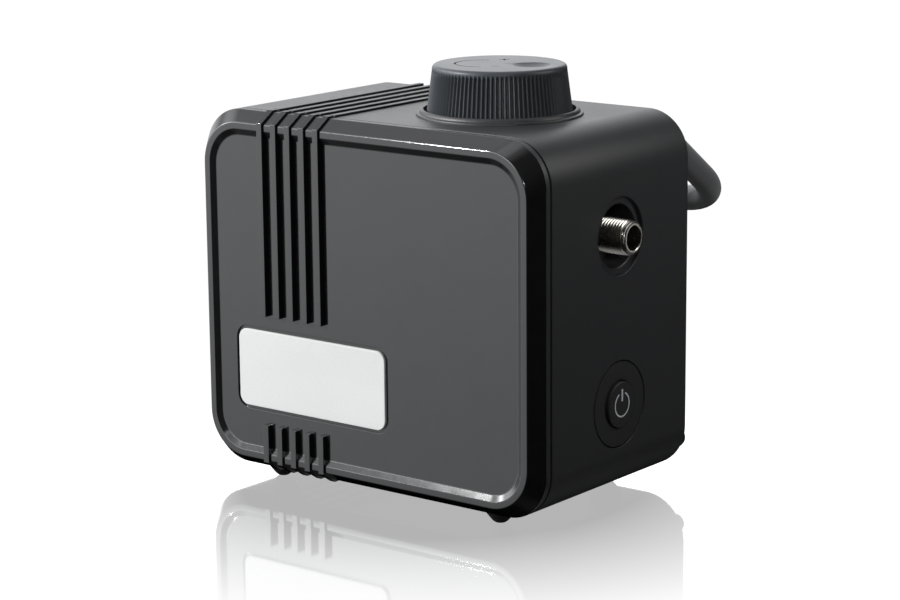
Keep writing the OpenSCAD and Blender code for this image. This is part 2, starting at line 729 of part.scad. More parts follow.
module jack_pin() color("silver") {
    bar_y(jack_pin_r, back_y - 10 + 0.01, back_y - 1.5, jack_x, jack_z);
}

// ---- Chassis and motor ----

plate_x0 = crank_x - 10;
plate_x1 = motor_rear_x + 6;
module at_mounts()
    for (x = [motor_front_x - 1.5, motor_rear_x + 0.8], y = [-18, 18]) translate([x, y, 0]) children();

module chassis_plate() color([0.7, 0.7, 0.72]) difference() {
    block(plate_x0, plate_x1, -23, 23, chassis_z + 0.02, chassis_z + chassis_t);
    at_mounts() translate([0, 0, chassis_z - 1]) cylinder(r = 2.5, h = chassis_t + 2);
}

module rubber_mounts() color([0.1, 0.1, 0.1]) at_mounts() {
    translate([0, 0, floor_z + 0.02]) cylinder(r = 5, h = mount_h - 0.02);
    translate([0, 0, floor_z + 1]) cylinder(r = 2.45, h = mount_h + chassis_t + 0.5);
    translate([0, 0, chassis_z + chassis_t + 0.02]) cylinder(r = 4, h = 1.2);
}

module motor_cradle() color([0.6, 0.6, 0.62]) difference() {
    for (x = [motor_front_x + 4, motor_rear_x - 8])
        block(x, x + 4, -motor_r + 3, motor_r - 3, deck_bottom_z + 0.02, motor_z - 8);
    bar_x(motor_r + fit, motor_front_x, motor_rear_x, 0, motor_z);
}

module motor_strap() color([0.65, 0.65, 0.67]) difference() {
    union() {
        bar_x(motor_r + 1.2, -4, 4, 0, motor_z);
        block(-4, 4, -motor_r - 1.2, -motor_r, deck_bottom_z + 0.02, motor_z);
        block(-4, 4, motor_r, motor_r + 1.2, deck_bottom_z + 0.02, motor_z);
    }
    bar_x(motor_r + fit, -5, 5, 0, motor_z);
    block(-5, 5, -motor_r - fit, motor_r + fit, deck_bottom_z - 1, motor_z);
}

module motor_can() color([0.72, 0.72, 0.74]) difference() {
    bar_x(motor_r, motor_front_x, motor_rear_x, 0, motor_z);
    bar_x(motor_r - 1.4, motor_front_x + 1.5, motor_rear_x + 1, 0, motor_z);
    bar_x(shaft_r + 2 + fit, motor_front_x - 1, motor_front_x + 3, 0, motor_z);
}

module motor_end_cap() color([0.12, 0.12, 0.12]) difference() {
    union() {
        bar_x(motor_r - 0.6, motor_rear_x + 0.02, motor_rear_x + 3, 0, motor_z);
        bar_x(motor_r - 1.4 - fit, motor_rear_x - 2, motor_rear_x + 1, 0, motor_z);
    }
    bar_x(shaft_r + 2 + fit, motor_rear_x - 3, motor_rear_x + 4, 0, motor_z);
}

module motor_magnets() color([0.3, 0.3, 0.32]) difference() {
    bar_x(motor_r - 1.4 - fit, motor_front_x + 7, motor_rear_x - 10, 0, motor_z);
    bar_x(motor_r - 4.2, motor_front_x + 6, motor_rear_x - 9, 0, motor_z);
    block(motor_front_x, motor_rear_x, -motor_r, motor_r, motor_z - 1.5, motor_z + 1.5);
}

module motor_bushes() color("goldenrod") difference() {
    union() {
        bar_x(shaft_r + 2, motor_front_x - 0.5, motor_front_x + 3, 0, motor_z);
        bar_x(shaft_r + 2, motor_rear_x - 1, motor_rear_x + 3.5, 0, motor_z);
    }
    bar_x(shaft_r + fit, motor_front_x - 2, motor_rear_x + 5, 0, motor_z);
}

module motor_shaft() color("silver")
    bar_x(shaft_r, crank_x + 6, motor_rear_x + 5 + fan_w, 0, motor_z);

module motor_rotor() color([0.55, 0.35, 0.2]) difference() {
    union() {
        bar_x(motor_r - 4.8, motor_front_x + 9, motor_rear_x - 12, 0, motor_z);
        bar_x(5, motor_rear_x - 12, motor_rear_x - 5, 0, motor_z);
    }
    bar_x(shaft_r + fit, motor_front_x, motor_rear_x, 0, motor_z);
    for (a = [0 : 72 : 359])
        translate([0, 0, motor_z]) rotate([a, 0, 0])
            block(motor_front_x, motor_rear_x - 12.5, -1, 1, motor_r - 9, motor_r);
}

module cooling_fan() color([0.15, 0.15, 0.16]) difference() {
    union() {
        bar_x(5, motor_rear_x + 5, motor_rear_x + 5 + fan_w, 0, motor_z);
        for (a = [0 : 45 : 359])
            translate([motor_rear_x + 5 + fan_w / 2, 0, motor_z]) rotate([a, 0, 0]) rotate([0, 0, 35])
                block(-fan_w / 2, fan_w / 2, -0.6, 0.6, 4, fan_r);
    }
    bar_x(shaft_r + fit, motor_rear_x + 1, motor_rear_x + 12 + fan_w, 0, motor_z);
}

// ---- Crank and pump ----

module crank_hub() color([0.6, 0.6, 0.62]) difference() {
    union() {
        bar_x(hub_r, crank_x + 5, crank_x + 10, 0, motor_z);
        bar_x(pin_r, crank_x - 4, crank_x + 6, 0, motor_z + crank_throw);
    }
    bar_x(shaft_r + fit, crank_x + 5.5, crank_x + 12, 0, motor_z);
}

module crank_bearing() color([0.8, 0.8, 0.82]) difference() {
    bar_x(bearing_r, crank_x - bearing_w / 2, crank_x + bearing_w / 2, 0, motor_z + crank_throw);
    bar_x(pin_r + fit, crank_x - bearing_w, crank_x + bearing_w, 0, motor_z + crank_throw);
}

module connecting_rod() color([0.75, 0.75, 0.77]) difference() {
    union() {
        bar_x(rod_r, crank_x - rod_w / 2, crank_x + rod_w / 2, 0, motor_z + crank_throw);
        block(crank_x - rod_w / 2, crank_x + rod_w / 2, -3.5, 3.5,
            motor_z + crank_throw + bearing_r + 1, rod_top_z + crank_throw - 2);
        bar_z(6.4, rod_top_z + crank_throw - 2.5, rod_top_z + crank_throw, crank_x, 0);
    }
    bar_x(bearing_r + fit, crank_x - rod_w, crank_x + rod_w, 0, motor_z + crank_throw);
}

module rod_clamp() color("silver")
    bar_z(clamp_r, rod_top_z + crank_throw + 0.01, rod_top_z + crank_throw + clamp_t, crank_x, 0);

module crankcase() color([0.68, 0.68, 0.7]) difference() {
    union() {
        block(crank_x - 8.5, crank_x + 8.5, -19.5, 19.5, deck_bottom_z + 0.02, deck_z);
        block(crank_x - head_w / 2, crank_x + head_w / 2, -head_w / 2, head_w / 2, deck_z - 4, deck_z);
        bar_x(12.5, crank_x + 8, motor_front_x - 0.6, 0, motor_z);
    }
    block(crank_x - 6, crank_x + 6, -17, 17, motor_z - 16, deck_z - 5);
    bar_z(11, deck_z - 6, deck_z + 1, crank_x, 0);
    bar_x(hub_r + 0.6, crank_x, motor_front_x, 0, motor_z);
    for (sx = [-1, 1], sy = [-1, 1])
        bar_z(bolt_r + fit, deck_z - 7, deck_z + 1, crank_x + sx * head_bolt, sy * head_bolt);
}

module stack_plate(z0, z1) difference() {
    block(crank_x - head_w / 2, crank_x + head_w / 2, -head_w / 2, head_w / 2, z0 + 0.01, z1);
    for (sx = [-1, 1], sy = [-1, 1])
        bar_z(bolt_r + fit, z0 - 1, z1 + 1, crank_x + sx * head_bolt, sy * head_bolt);
}

module pump_diaphragm() color([0.12, 0.12, 0.12]) difference() {
    stack_plate(deck_z, deck_z + diaphragm_t);
    bar_z(clamp_r + crank_throw + 0.6, deck_z - 1, deck_z + 3, crank_x, 0);
}

valve_z = deck_z + diaphragm_t;
module valve_plate() color([0.82, 0.82, 0.84]) difference() {
    stack_plate(valve_z, valve_z + valve_t);
    bar_z(11, valve_z - 1, valve_z + 3.6, crank_x, 0);
    for (sx = [-1, 1]) bar_z(1.2, valve_z, valve_z + valve_t + 1, crank_x + sx * 6, 0);
}

module reed_valves() color("silver")
    for (sx = [-1, 1])
        block(crank_x + sx * 6 - 2.2, crank_x + sx * 6 + 2.2, -2.2, 6,
            valve_z + valve_t + 0.02, valve_z + valve_t + 0.3);

module pump_head() color([0.7, 0.7, 0.72]) difference() {
    z0 = valve_z + valve_t;
    union() {
        stack_plate(z0, z0 + head_t);
        bar_x(barb_r, crank_x + head_w / 2 - 1, crank_x + head_w / 2 + 8, 0, head_port_z);
        for (y = [-10.5 : 5.25 : 10.5])
            block(crank_x - head_w / 2 + 7, crank_x + head_w / 2 - 7, y - 1, y + 1,
                z0 + head_t - 1, z0 + head_t + 3);
    }
    // Inlet and outlet chambers
    for (sx = [-1, 1])
        block(crank_x + sx * 7 - 5, crank_x + sx * 7 + 5, -9, 9, z0 - 1, z0 + 8);
    bar_x(1.4, crank_x + 6, crank_x + head_w / 2 + 9, 0, head_port_z);
    bar_x(2.5 + fit, crank_x - head_w / 2 - 1, crank_x - 6, 0, head_port_z);
}

module head_screws() color("silver")
    for (sx = [-1, 1], sy = [-1, 1])
        translate([crank_x + sx * head_bolt, sy * head_bolt, valve_z + valve_t + head_t + 0.02])
            screw(head_t + valve_t + diaphragm_t + 6, bolt_r, 2.7, 2.4);

module intake_filter() color([0.85, 0.85, 0.8]) {
    bar_x(2.5, crank_x - head_w / 2 - 3, crank_x - head_w / 2 + 4, 0, head_port_z);
    bar_x(5.5, side_x * -1 + wall + 0.6, crank_x - head_w / 2 - 0.4, 0, head_port_z);
}

hose_a = [crank_x + head_w / 2 + 0.5, 0, head_port_z];
hose_b = [knob_x - regulator_r - 0.5, side_axis_y, outlet_z];
module air_hose() color([0.75, 0.77, 0.8]) difference() {
    swept(s_curve(hose_a, hose_b, 16), hose_r, 16);
    swept(s_curve(hose_a, hose_b, 16), barb_r - 0.4, 12);
    bar_x(barb_r + fit, hose_a[0] - 1, hose_a[0] + 8, 0, head_port_z);
    bar_x(barb_r + fit, hose_b[0] - 6.5, hose_b[0] + 1, side_axis_y, outlet_z);
}

module hose_clip(x, y, z) difference() {
    bar_x(hose_r + 1, x, x + 2.6, y, z);
    bar_x(hose_r + 0.05, x - 1, x + 4, y, z);
}

module hose_clips() color("silver") {
    hose_clip(knob_x + regulator_r + 1.5, side_axis_y, outlet_z);
    hose_clip(tail_x + 1, side_axis_y, outlet_z);
}

// Two leads from the board to the motor's end cap
module motor_leads() color([0.6, 0.1, 0.1])
    for (y = [-15, -11])
        swept([
            [board_x0 + 1, y, board_z + board_t + 1.2],
            [board_x0 - 1, y, board_z + board_t + 2.4],
            [board_x0 - 2.6, y, board_z + board_t + 3.6],
            [motor_rear_x + 4.4, y, board_z + board_t + 4.6],
            [motor_rear_x + 3.6, y, motor_z - 14.5]
        ], 0.7, 8, [0, 1, 0]);

main_housing();
front_cover();
badge_plate();
cover_screws();
rear_cover();
case_screws();
feet();
rear_bumpers();
airbrush_hanger();
hanger_sleeve();
hanger_anchor();
hanger_screws();
regulator_knob();
regulator_screw();
regulator_nut();
regulator_bonnet();
regulator_seat();
regulator_spring();
regulator_membrane();
regulator_body();
outlet_fitting();
outlet_locknut();
outlet_hose();
button_bezel();
power_button();
power_symbol();
power_switch();
switch_spring();
circuit_board();
board_parts();
dc_jack();
jack_pin();
chassis_plate();
rubber_mounts();
motor_cradle();
motor_strap();
motor_can();
motor_end_cap();
motor_magnets();
motor_bushes();
motor_shaft();
motor_rotor();
cooling_fan();
crank_hub();
crank_bearing();
connecting_rod();
rod_clamp();
crankcase();
pump_diaphragm();
valve_plate();
reed_valves();
pump_head();
head_screws();
intake_filter();
air_hose();
hose_clips();
motor_leads();
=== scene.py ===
# %% [markdown]
# # A small diaphragm compressor for an airbrush
# The frame file holds the solid model: every part, with its body and its joints. This lesson builds the
# looks around it. Lengths are written in millimetres, as on a drawing, and each finished mesh is scaled
# to metres once, so that its place stays in the mesh and its object stays at the origin.

import json
import math

import bmesh
import bpy
from mathutils import Matrix, Vector


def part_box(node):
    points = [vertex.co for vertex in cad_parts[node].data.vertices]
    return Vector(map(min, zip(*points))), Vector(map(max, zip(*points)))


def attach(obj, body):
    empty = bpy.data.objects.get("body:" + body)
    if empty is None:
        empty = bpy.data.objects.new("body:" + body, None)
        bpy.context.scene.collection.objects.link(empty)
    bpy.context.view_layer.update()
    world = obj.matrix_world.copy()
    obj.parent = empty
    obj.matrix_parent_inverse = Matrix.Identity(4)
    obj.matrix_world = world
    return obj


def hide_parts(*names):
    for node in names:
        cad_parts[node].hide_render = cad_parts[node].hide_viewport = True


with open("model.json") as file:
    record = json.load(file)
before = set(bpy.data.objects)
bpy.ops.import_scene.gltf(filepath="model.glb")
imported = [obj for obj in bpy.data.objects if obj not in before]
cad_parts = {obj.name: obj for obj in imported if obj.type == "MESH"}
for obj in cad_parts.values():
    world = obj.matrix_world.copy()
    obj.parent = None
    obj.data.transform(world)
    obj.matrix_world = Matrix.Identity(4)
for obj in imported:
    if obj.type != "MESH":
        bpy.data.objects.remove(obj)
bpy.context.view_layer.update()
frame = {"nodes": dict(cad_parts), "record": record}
MM = 0.001
print("nodes:", len(frame["nodes"]))


# %% [markdown]
# The main sizes are read from the solid model where a node gives them, so the visible pieces always fit
# it. The rest are the drawing's own numbers.

# %% Main sizes, in millimetres
def node_box(node):
    low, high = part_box(node)
    return low / MM, high / MM


housing_low, housing_high = node_box("main_housing")
cover_low = node_box("front_cover")[0]
thread_low, thread_high = node_box("outlet_fitting")
bezel_low, bezel_high = node_box("button_bezel")
knob_low, knob_high = node_box("regulator_knob")
rear_low, rear_high = node_box("rear_cover")
badge_low, badge_high = node_box("badge_plate")
RIB_H = 0.6
COLLAR_H = 1.7
SIDE_X = bezel_high.x
BACK_Y = housing_high.y
HOUSING_Y = housing_low.y
TOP_Z = housing_high.z - COLLAR_H
BOTTOM_Z = housing_low.z + RIB_H
MID_Z = (TOP_Z + BOTTOM_Z) / 2
WIDTH, HEIGHT = 2 * SIDE_X, TOP_Z - BOTTOM_Z
CORNER_R = 12.8
WALL = 2.5
FRONT_Y = cover_low.y + RIB_H
COVER_BACK_Y = HOUSING_Y - 0.7
PANEL_Y = FRONT_Y + 1
AXIS_Y = (bezel_low.y + bezel_high.y) / 2
OUTLET_Z = (thread_low.z + thread_high.z) / 2
BUTTON_Z = (bezel_low.z + bezel_high.z) / 2
KNOB_X = (knob_low.x + knob_high.x) / 2
KNOB_H = knob_high.z - TOP_Z
print("case %.1f x %.1f x %.1f mm" % (WIDTH, BACK_Y - FRONT_Y, HEIGHT))

# %% [markdown]
# ## Helpers
# Most of the pieces are moulded shells. A shell is a chain of rounded rectangles, one behind another,
# with bridges between them. A plane with its four corners bevelled gives each rounded rectangle, so the
# arcs come from the operator and every rectangle has the same number of corners to bridge.


# %% Rounded rectangles and the shells between them
def rounded_loop(bm, width, height, radius, y, x=0.0, z=None, segments=14):
    """Edges of a rounded rectangle that faces the front, at depth y."""
    made = bmesh.ops.create_grid(bm, x_segments=1, y_segments=1, size=0.5)["verts"]
    bmesh.ops.scale(bm, verts=made, vec=(width, height, 1))
    bmesh.ops.rotate(bm, verts=made, cent=(0, 0, 0), matrix=Matrix.Rotation(math.pi / 2, 3, "X"))
    bmesh.ops.translate(bm, verts=made, vec=(x, y, MID_Z if z is None else z))
    cut = bmesh.ops.bevel(
        bm, geom=made, offset=radius, offset_type="OFFSET", segments=segments,
        affect="VERTICES", profile=0.5, material=-1,
    )
    face = next(f for f in cut["faces"] + list(bm.faces) if f.is_valid and len(f.verts) == 4 * (segments + 1)
                and all(v.is_valid and len(v.link_faces) == 1 for v in f.verts))
    edges = list(face.edges)
    bmesh.ops.delete(bm, geom=[face], context="FACES_ONLY")
    return edges


def bridge(bm, *loops):
    """Walls between neighbouring loops."""
    for near, far in zip(loops, loops[1:]):
        bmesh.ops.bridge_loops(bm, edges=near + far)


def cap(bm, loop):
    bmesh.ops.contextual_create(bm, geom=loop)


def soften(bm, loop, width, segments=3):
    """Rounds the edges of a loop."""
    edges = [e for e in loop if e.is_valid]
    ends = list({v for e in edges for v in e.verts})
    bmesh.ops.bevel(
        bm, geom=edges + ends, offset=width, offset_type="OFFSET", segments=segments,
        affect="EDGES", profile=0.5, material=-1, clamp_overlap=True,
    )


# %% [markdown]
# Turned and round parts start from half of their outline and are spun. The outline is given as pairs of
# distance along the axis and radius, and where it starts and ends on the axis the poles are merged.


# %% Spun pieces, blocks and finished objects
def spun(bm, outline, centre, axis="Z", steps=96, closed=False):
    """Spins an outline of (along, radius) pairs round an axis through centre."""
    along = {"X": Vector((1, 0, 0)), "Y": Vector((0, 1, 0)), "Z": Vector((0, 0, 1))}[axis]
    across = Vector((0, 0, 1)) if axis != "Z" else Vector((1, 0, 0))
    start = Vector(centre)
    points = [bm.verts.new(start + along * a + across * r) for a, r in outline]
    edges = [bm.edges.new(pair) for pair in zip(points, points[1:])]
    if closed:
        edges.append(bm.edges.new((points[-1], points[0])))
    before = set(bm.verts) - set(points)
    bmesh.ops.spin(
        bm, geom=points + edges, cent=start, axis=along, angle=math.tau, steps=steps, use_merge=True,
    )
    new = [v for v in bm.verts if v not in before]
    bmesh.ops.remove_doubles(bm, verts=new, dist=1e-4)
    return [v for v in new if v.is_valid]


def block(bm, x0, x1, y0, y1, z0, z1, edge=0.0):
    """A block between two corners, with its edges rounded."""
    verts = bmesh.ops.create_cube(bm, size=1)["verts"]
    bmesh.ops.scale(bm, verts=verts, vec=(x1 - x0, y1 - y0, z1 - z0))
    bmesh.ops.translate(bm, verts=verts, vec=((x0 + x1) / 2, (y0 + y1) / 2, (z0 + z1) / 2))
    if edge:
        edges = list({e for v in verts for e in v.link_edges})
        bmesh.ops.bevel(bm, geom=edges + verts, offset=edge, offset_type="OFFSET", segments=2,
                        affect="EDGES", profile=0.5, material=-1)


def bar(bm, start, end, radius, sides=128):
    """A round bar between two points."""
    start, end = Vector(start), Vector(end)
    turn = (end - start).to_track_quat("Z", "Y").to_matrix().to_4x4()
    place = Matrix.Translation((start + end) / 2) @ turn
    bmesh.ops.create_cone(bm, cap_ends=True, segments=sides, radius1=radius, radius2=radius,
                          depth=(end - start).length, matrix=place)


def into_object(bm, name, smooth_below=32):
    """Scales the mesh to metres and links it as an object at the origin."""
    bmesh.ops.recalc_face_normals(bm, faces=list(bm.faces))
    bmesh.ops.scale(bm, verts=list(bm.verts), vec=(MM, MM, MM))
    mesh = bpy.data.meshes.new(name)
    bm.to_mesh(mesh)
    bm.free()
    mesh.polygons.foreach_set("use_smooth", [True] * len(mesh.polygons))
    mesh.set_sharp_from_angle(angle=math.radians(smooth_below))
    piece = bpy.data.objects.new(name, mesh)
    bpy.context.scene.collection.objects.link(piece)
    return piece


def carve(piece, cutter, smooth_below=32):
    """Takes the cutter's shape out of the piece and removes the cutter."""
    change = piece.modifiers.new("carve", "BOOLEAN")
    change.object, change.operation, change.solver, change.use_self = cutter, "DIFFERENCE", "EXACT", True
    bpy.context.view_layer.update()
    cut = piece.evaluated_get(bpy.context.evaluated_depsgraph_get())
    mesh = bpy.data.meshes.new_from_object(cut)
    piece.modifiers.clear()
    piece.data = mesh
    mesh.set_sharp_from_angle(angle=math.radians(smooth_below))
    bpy.data.objects.remove(cutter)


def dress(piece, material, slot, body="case", *nodes):
    """Gives the piece its finish and body, and hides the nodes that it stands for."""
    piece.data.materials.append(material)
    shade = piece.modifiers.new("even_shading", "WEIGHTED_NORMAL")
    shade.keep_sharp = True
    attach(piece, body)
    if nodes:
        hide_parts(*nodes)
    print("%-20s %6d faces" % (piece.name, len(piece.data.polygons)))


# %% [markdown]
# ## Finishes
# Each finish is one Principled shader. Noise on object coordinates gives it the texture of the mould, the
# grain of the metal or the bloom of rubber, and drives roughness and bump as well as colour. The object
# coordinates are metres, so a scale of 4000 puts the grain at a quarter of a millimetre.


# %% A finish from noise
BROAD_GRAIN, FINE_SHARE = 55, 0.6


def finish(name, colour, roughness, metallic=0.0, grain=4000.0, bump=0.1, spread=0.06, tint=0.12,
           stretch=(1, 1, 1), coat=0.0, specular=0.5, depth=0.00004, sheen=0.0):
    """A material whose colour, roughness and bump vary with a fine and a broad noise."""
    made = bpy.data.materials.new(name)
    made.use_nodes = True
    nodes, links = made.node_tree.nodes, made.node_tree.links
    shader = nodes["Principled BSDF"]
    where = nodes.new("ShaderNodeTexCoord")
    turn = nodes.new("ShaderNodeMapping")
    turn.inputs["Scale"].default_value = stretch
    links.new(where.outputs["Object"], turn.inputs["Vector"])
    fine = nodes.new("ShaderNodeTexNoise")
    fine.inputs["Scale"].default_value = grain
    fine.inputs["Detail"].default_value = 3
    fine.inputs["Roughness"].default_value = 0.6
    broad = nodes.new("ShaderNodeTexNoise")
    broad.inputs["Scale"].default_value = BROAD_GRAIN
    broad.inputs["Detail"].default_value = 4
    for noise in (fine, broad):
        links.new(turn.outputs["Vector"], noise.inputs["Vector"])
    mixed = nodes.new("ShaderNodeMath")
    mixed.operation = "MULTIPLY_ADD"
    mixed.inputs[1].default_value = FINE_SHARE
    links.new(fine.outputs["Fac"], mixed.inputs[0])
    part = nodes.new("ShaderNodeMath")
    part.operation = "MULTIPLY"
    part.inputs[1].default_value = 1 - FINE_SHARE
    links.new(broad.outputs["Fac"], part.inputs[0])
    links.new(part.outputs[0], mixed.inputs[2])
    ramp = nodes.new("ShaderNodeValToRGB")
    ramp.color_ramp.elements[0].position = 0.35
    ramp.color_ramp.elements[1].position = 0.65
    ramp.color_ramp.elements[0].color = [c * (1 - tint) for c in colour] + [1]
    ramp.color_ramp.elements[1].color = [min(1, c * (1 + tint)) for c in colour] + [1]
    links.new(mixed.outputs[0], ramp.inputs["Fac"])
    links.new(ramp.outputs["Color"], shader.inputs["Base Color"])
    rough = nodes.new("ShaderNodeMapRange")
    rough.inputs["From Min"].default_value = 0.3
    rough.inputs["From Max"].default_value = 0.7
    rough.inputs["To Min"].default_value = max(0.02, roughness - spread)
    rough.inputs["To Max"].default_value = min(1, roughness + spread)
    links.new(mixed.outputs[0], rough.inputs["Value"])
    links.new(rough.outputs["Result"], shader.inputs["Roughness"])
    relief = nodes.new("ShaderNodeBump")
    relief.inputs["Strength"].default_value = bump
    relief.inputs["Distance"].default_value = depth
    links.new(fine.outputs["Fac"], relief.inputs["Height"])
    links.new(relief.outputs["Normal"], shader.inputs["Normal"])
    shader.inputs["Metallic"].default_value = metallic
    shader.inputs["Specular IOR Level"].default_value = specular
    shader.inputs["Coat Weight"].default_value = coat
    shader.inputs["Coat Roughness"].default_value = 0.08
    shader.inputs["Sheen Weight"].default_value = sheen
    return made


# %% [markdown]
# The outer finishes come first. The case is spark-eroded matte plastic, the front is polished, and the
# knob lies between them. The badge has a pale satin coat with a fine grain along its length.

# %% Outer finishes
case_finish = finish("case_matte", (0.016, 0.0165, 0.018), 0.47, grain=2600, bump=0.6, spread=0.05,
                     depth=0.00006, specular=0.42)
gloss_finish = finish("cover_gloss", (0.008, 0.008, 0.0085), 0.1, grain=300, bump=0.015, spread=0.02,
                      depth=0.00001, specular=0.6)
knob_finish = finish("knob_matte", (0.038, 0.042, 0.048), 0.42, grain=3600, bump=0.4, depth=0.00003,
                     spread=0.05, specular=0.27)
button_finish = finish("button_satin", (0.011, 0.011, 0.011), 0.5, grain=3000, bump=0.2, depth=0.00002)
print_finish = finish("symbol_print", (0.62, 0.64, 0.68), 0.45, grain=2500, bump=0.1, tint=0.05)
badge_finish = finish("badge_aluminium", (0.43, 0.43, 0.426), 0.5, specular=0.3, grain=2400,
                       bump=0.25, stretch=(0.5, 1, 1), tint=0.05, depth=0.00001)
nickel_finish = finish("nickel_plate", (0.5, 0.48, 0.44), 0.25, metallic=1.0, grain=1500, bump=0.1,
                       tint=0.08, depth=0.00001)
sleeve_finish = finish("sleeve_rubber", (0.064, 0.066, 0.07), 0.5, grain=1800, bump=0.25, spread=0.08,
                       depth=0.00003, sheen=0.3)
rubber_finish = finish("foot_rubber", (0.008, 0.008, 0.008), 0.75, grain=2600, bump=0.5, specular=0.2)

# %% [markdown]
# The inner parts are seldom seen, but the model can be opened, so each has the finish of its real
# material: zinc, spring wire, rolled sheet, die-cast alloy, brass, copper windings and so on.

# %% Inner finishes
inner = {
    "zinc_steel": finish("zinc_plate", (0.62, 0.62, 0.6), 0.32, 1.0, grain=900, bump=0.2, tint=0.15),
    "spring_steel": finish("spring_wire", (0.5, 0.5, 0.52), 0.25, 1.0, grain=1800, bump=0.15),
    "plate_steel": finish("rolled_sheet", (0.55, 0.56, 0.58), 0.4, 1.0, grain=700, bump=0.2,
                          stretch=(0.15, 1, 1), tint=0.2),
    "brass": finish("turned_brass", (0.72, 0.52, 0.24), 0.28, 1.0, grain=1600, bump=0.2),
    "alloy": finish("cast_alloy", (0.5, 0.5, 0.52), 0.5, 1.0, grain=1300, bump=0.6, tint=0.15),
    "nylon": finish("black_nylon", (0.022, 0.022, 0.024), 0.5, grain=2200, bump=0.3),
    "switch_plastic": finish("switch_blue", (0.03, 0.05, 0.13), 0.3, grain=2200, bump=0.15),
    "board": finish("solder_mask", (0.01, 0.1, 0.035), 0.28, grain=700, bump=0.3, tint=0.35, coat=0.4),
    "magnet": finish("ferrite", (0.035, 0.035, 0.038), 0.62, grain=2600, bump=0.6, tint=0.3),
    "windings": finish("copper_wire", (0.55, 0.2, 0.08), 0.35, 0.9, grain=2400, bump=0.8,
                       stretch=(1, 0.12, 0.12), tint=0.35),
    "hose": finish("silicone_hose", (0.55, 0.57, 0.6), 0.38, grain=900, bump=0.15, tint=0.08),
    "lead": finish("lead_sheath", (0.3, 0.015, 0.015), 0.35, grain=1800, bump=0.2),
    "soft_rubber": rubber_finish,
    "nickel": nickel_finish,
    "badge_metal": badge_finish,
    "case_plastic": case_finish,
    "cover_plastic": gloss_finish,
    "knob_plastic": knob_finish,
    "button_plastic": button_finish,
    "symbol_print": print_finish,
    "sleeve_rubber": sleeve_finish,
}
for part in frame["record"]["subparts"]:
    mesh = frame["nodes"][part["node"]].data
    for place in range(max(1, len(mesh.materials))):
        if not mesh.materials:
            mesh.materials.append(inner[part["material_slot"]])
        mesh.materials[place] = inner[part["material_slot"]]
print(len(inner), "finishes on", len(frame["nodes"]), "nodes")

# %% [markdown]
# ## Front cover
# The cover is one polished moulding: a chamfer round the outside, a narrow flat rim, a short slope, and a
# flat panel a millimetre below the rim. The chain of loops follows that section from the seam round to
# the inside. The crisp rim carries a bright line, so its outer edge gets a bevel of 0.3 mm.

# %% Cover shell
CHAMFER, CHAMFER_D, RIM_R, RIM_W, SLOPE_W, TONGUE_FIT = 3.0, 4.5, 12.4, 1.85, 1.75, 0.15
BADGE_X = (badge_low.x + badge_high.x) / 2
BADGE_Z = (badge_low.z + badge_high.z) / 2
BADGE_W, BADGE_H = badge_high.x - badge_low.x, badge_high.z - badge_low.z
POCKET, BADGE_R = 0.9, 3

cover = bmesh.new()


def cover_loop(inset, radius, y):
    return rounded_loop(cover, WIDTH - 2 * inset, HEIGHT - 2 * inset, radius, y)


seam = cover_loop(0, CORNER_R, COVER_BACK_Y)
shoulder = cover_loop(0, CORNER_R, FRONT_Y + CHAMFER_D)
rim_out = cover_loop(CHAMFER, RIM_R, FRONT_Y)
rim_in = cover_loop(CHAMFER + RIM_W, RIM_R - RIM_W, FRONT_Y)
panel = cover_loop(CHAMFER + RIM_W + SLOPE_W, RIM_R - RIM_W - SLOPE_W, PANEL_Y)
pocket = [
    rounded_loop(cover, BADGE_W + 2 * POCKET, BADGE_H + 2 * POCKET, BADGE_R + POCKET, y, BADGE_X, BADGE_Z)
    for y in (PANEL_Y, PANEL_Y + 0.5)
]
tongue = [cover_loop(WALL + TONGUE_FIT, CORNER_R - WALL - TONGUE_FIT, y)
          for y in (COVER_BACK_Y, HOUSING_Y + 1)]
hollow = [cover_loop(WALL + 2, CORNER_R - WALL - 2, y) for y in (HOUSING_Y + 1, PANEL_Y + 2)]
bridge(cover, seam, shoulder, rim_out, rim_in, panel, *pocket)
bridge(cover, seam, *tongue, *hollow)
cap(cover, pocket[-1])
cap(cover, hollow[-1])
for loop, width in ((rim_out, 0.3), (rim_in, 0.15), (panel, 0.2), (pocket[0], 0.15),
                    (shoulder, 0.18), (seam, 0.15)):
    soften(cover, loop, width)
print("cover shell:", len(cover.faces), "faces")

# %% [markdown]
# Five ribs run up the panel, over the rim and the chamfer, and on over the top of the housing. Each is a
# closed profile seen from the side, pushed out to the width of a rib. Those on the cover stop above the
# badge and start again below it, with square ends.

# %% Ribs on the cover
RIB_W, RIB_PITCH, RIB_MID, RIB_EDGE = 1.9, 5.08, -24.8, 0.12
rib_lefts = [RIB_MID + (i - 2) * RIB_PITCH - RIB_W / 2 for i in range(5)]
BADGE_CLEAR = BADGE_H / 2 + 4.6


def side_profile(bm, points, x0, x1, edge=RIB_EDGE):
    """Pushes a closed outline of (y, z) pairs from x0 to x1 and rounds its edges."""
    verts = [bm.verts.new((x0, y, z)) for y, z in points]
    face = bm.faces.new(verts)
    pushed = bmesh.ops.extrude_face_region(bm, geom=[face], use_keep_orig=True)["geom"]
    moved = [v for v in pushed if isinstance(v, bmesh.types.BMVert)]
    bmesh.ops.translate(bm, verts=moved, vec=(x1 - x0, 0, 0))
    edges = list({e for v in verts + moved for e in v.link_edges})
    bmesh.ops.bevel(bm, geom=edges + verts + moved, offset=edge, offset_type="OFFSET", segments=2,
                    affect="EDGES", profile=0.5, material=-1, clamp_overlap=True)


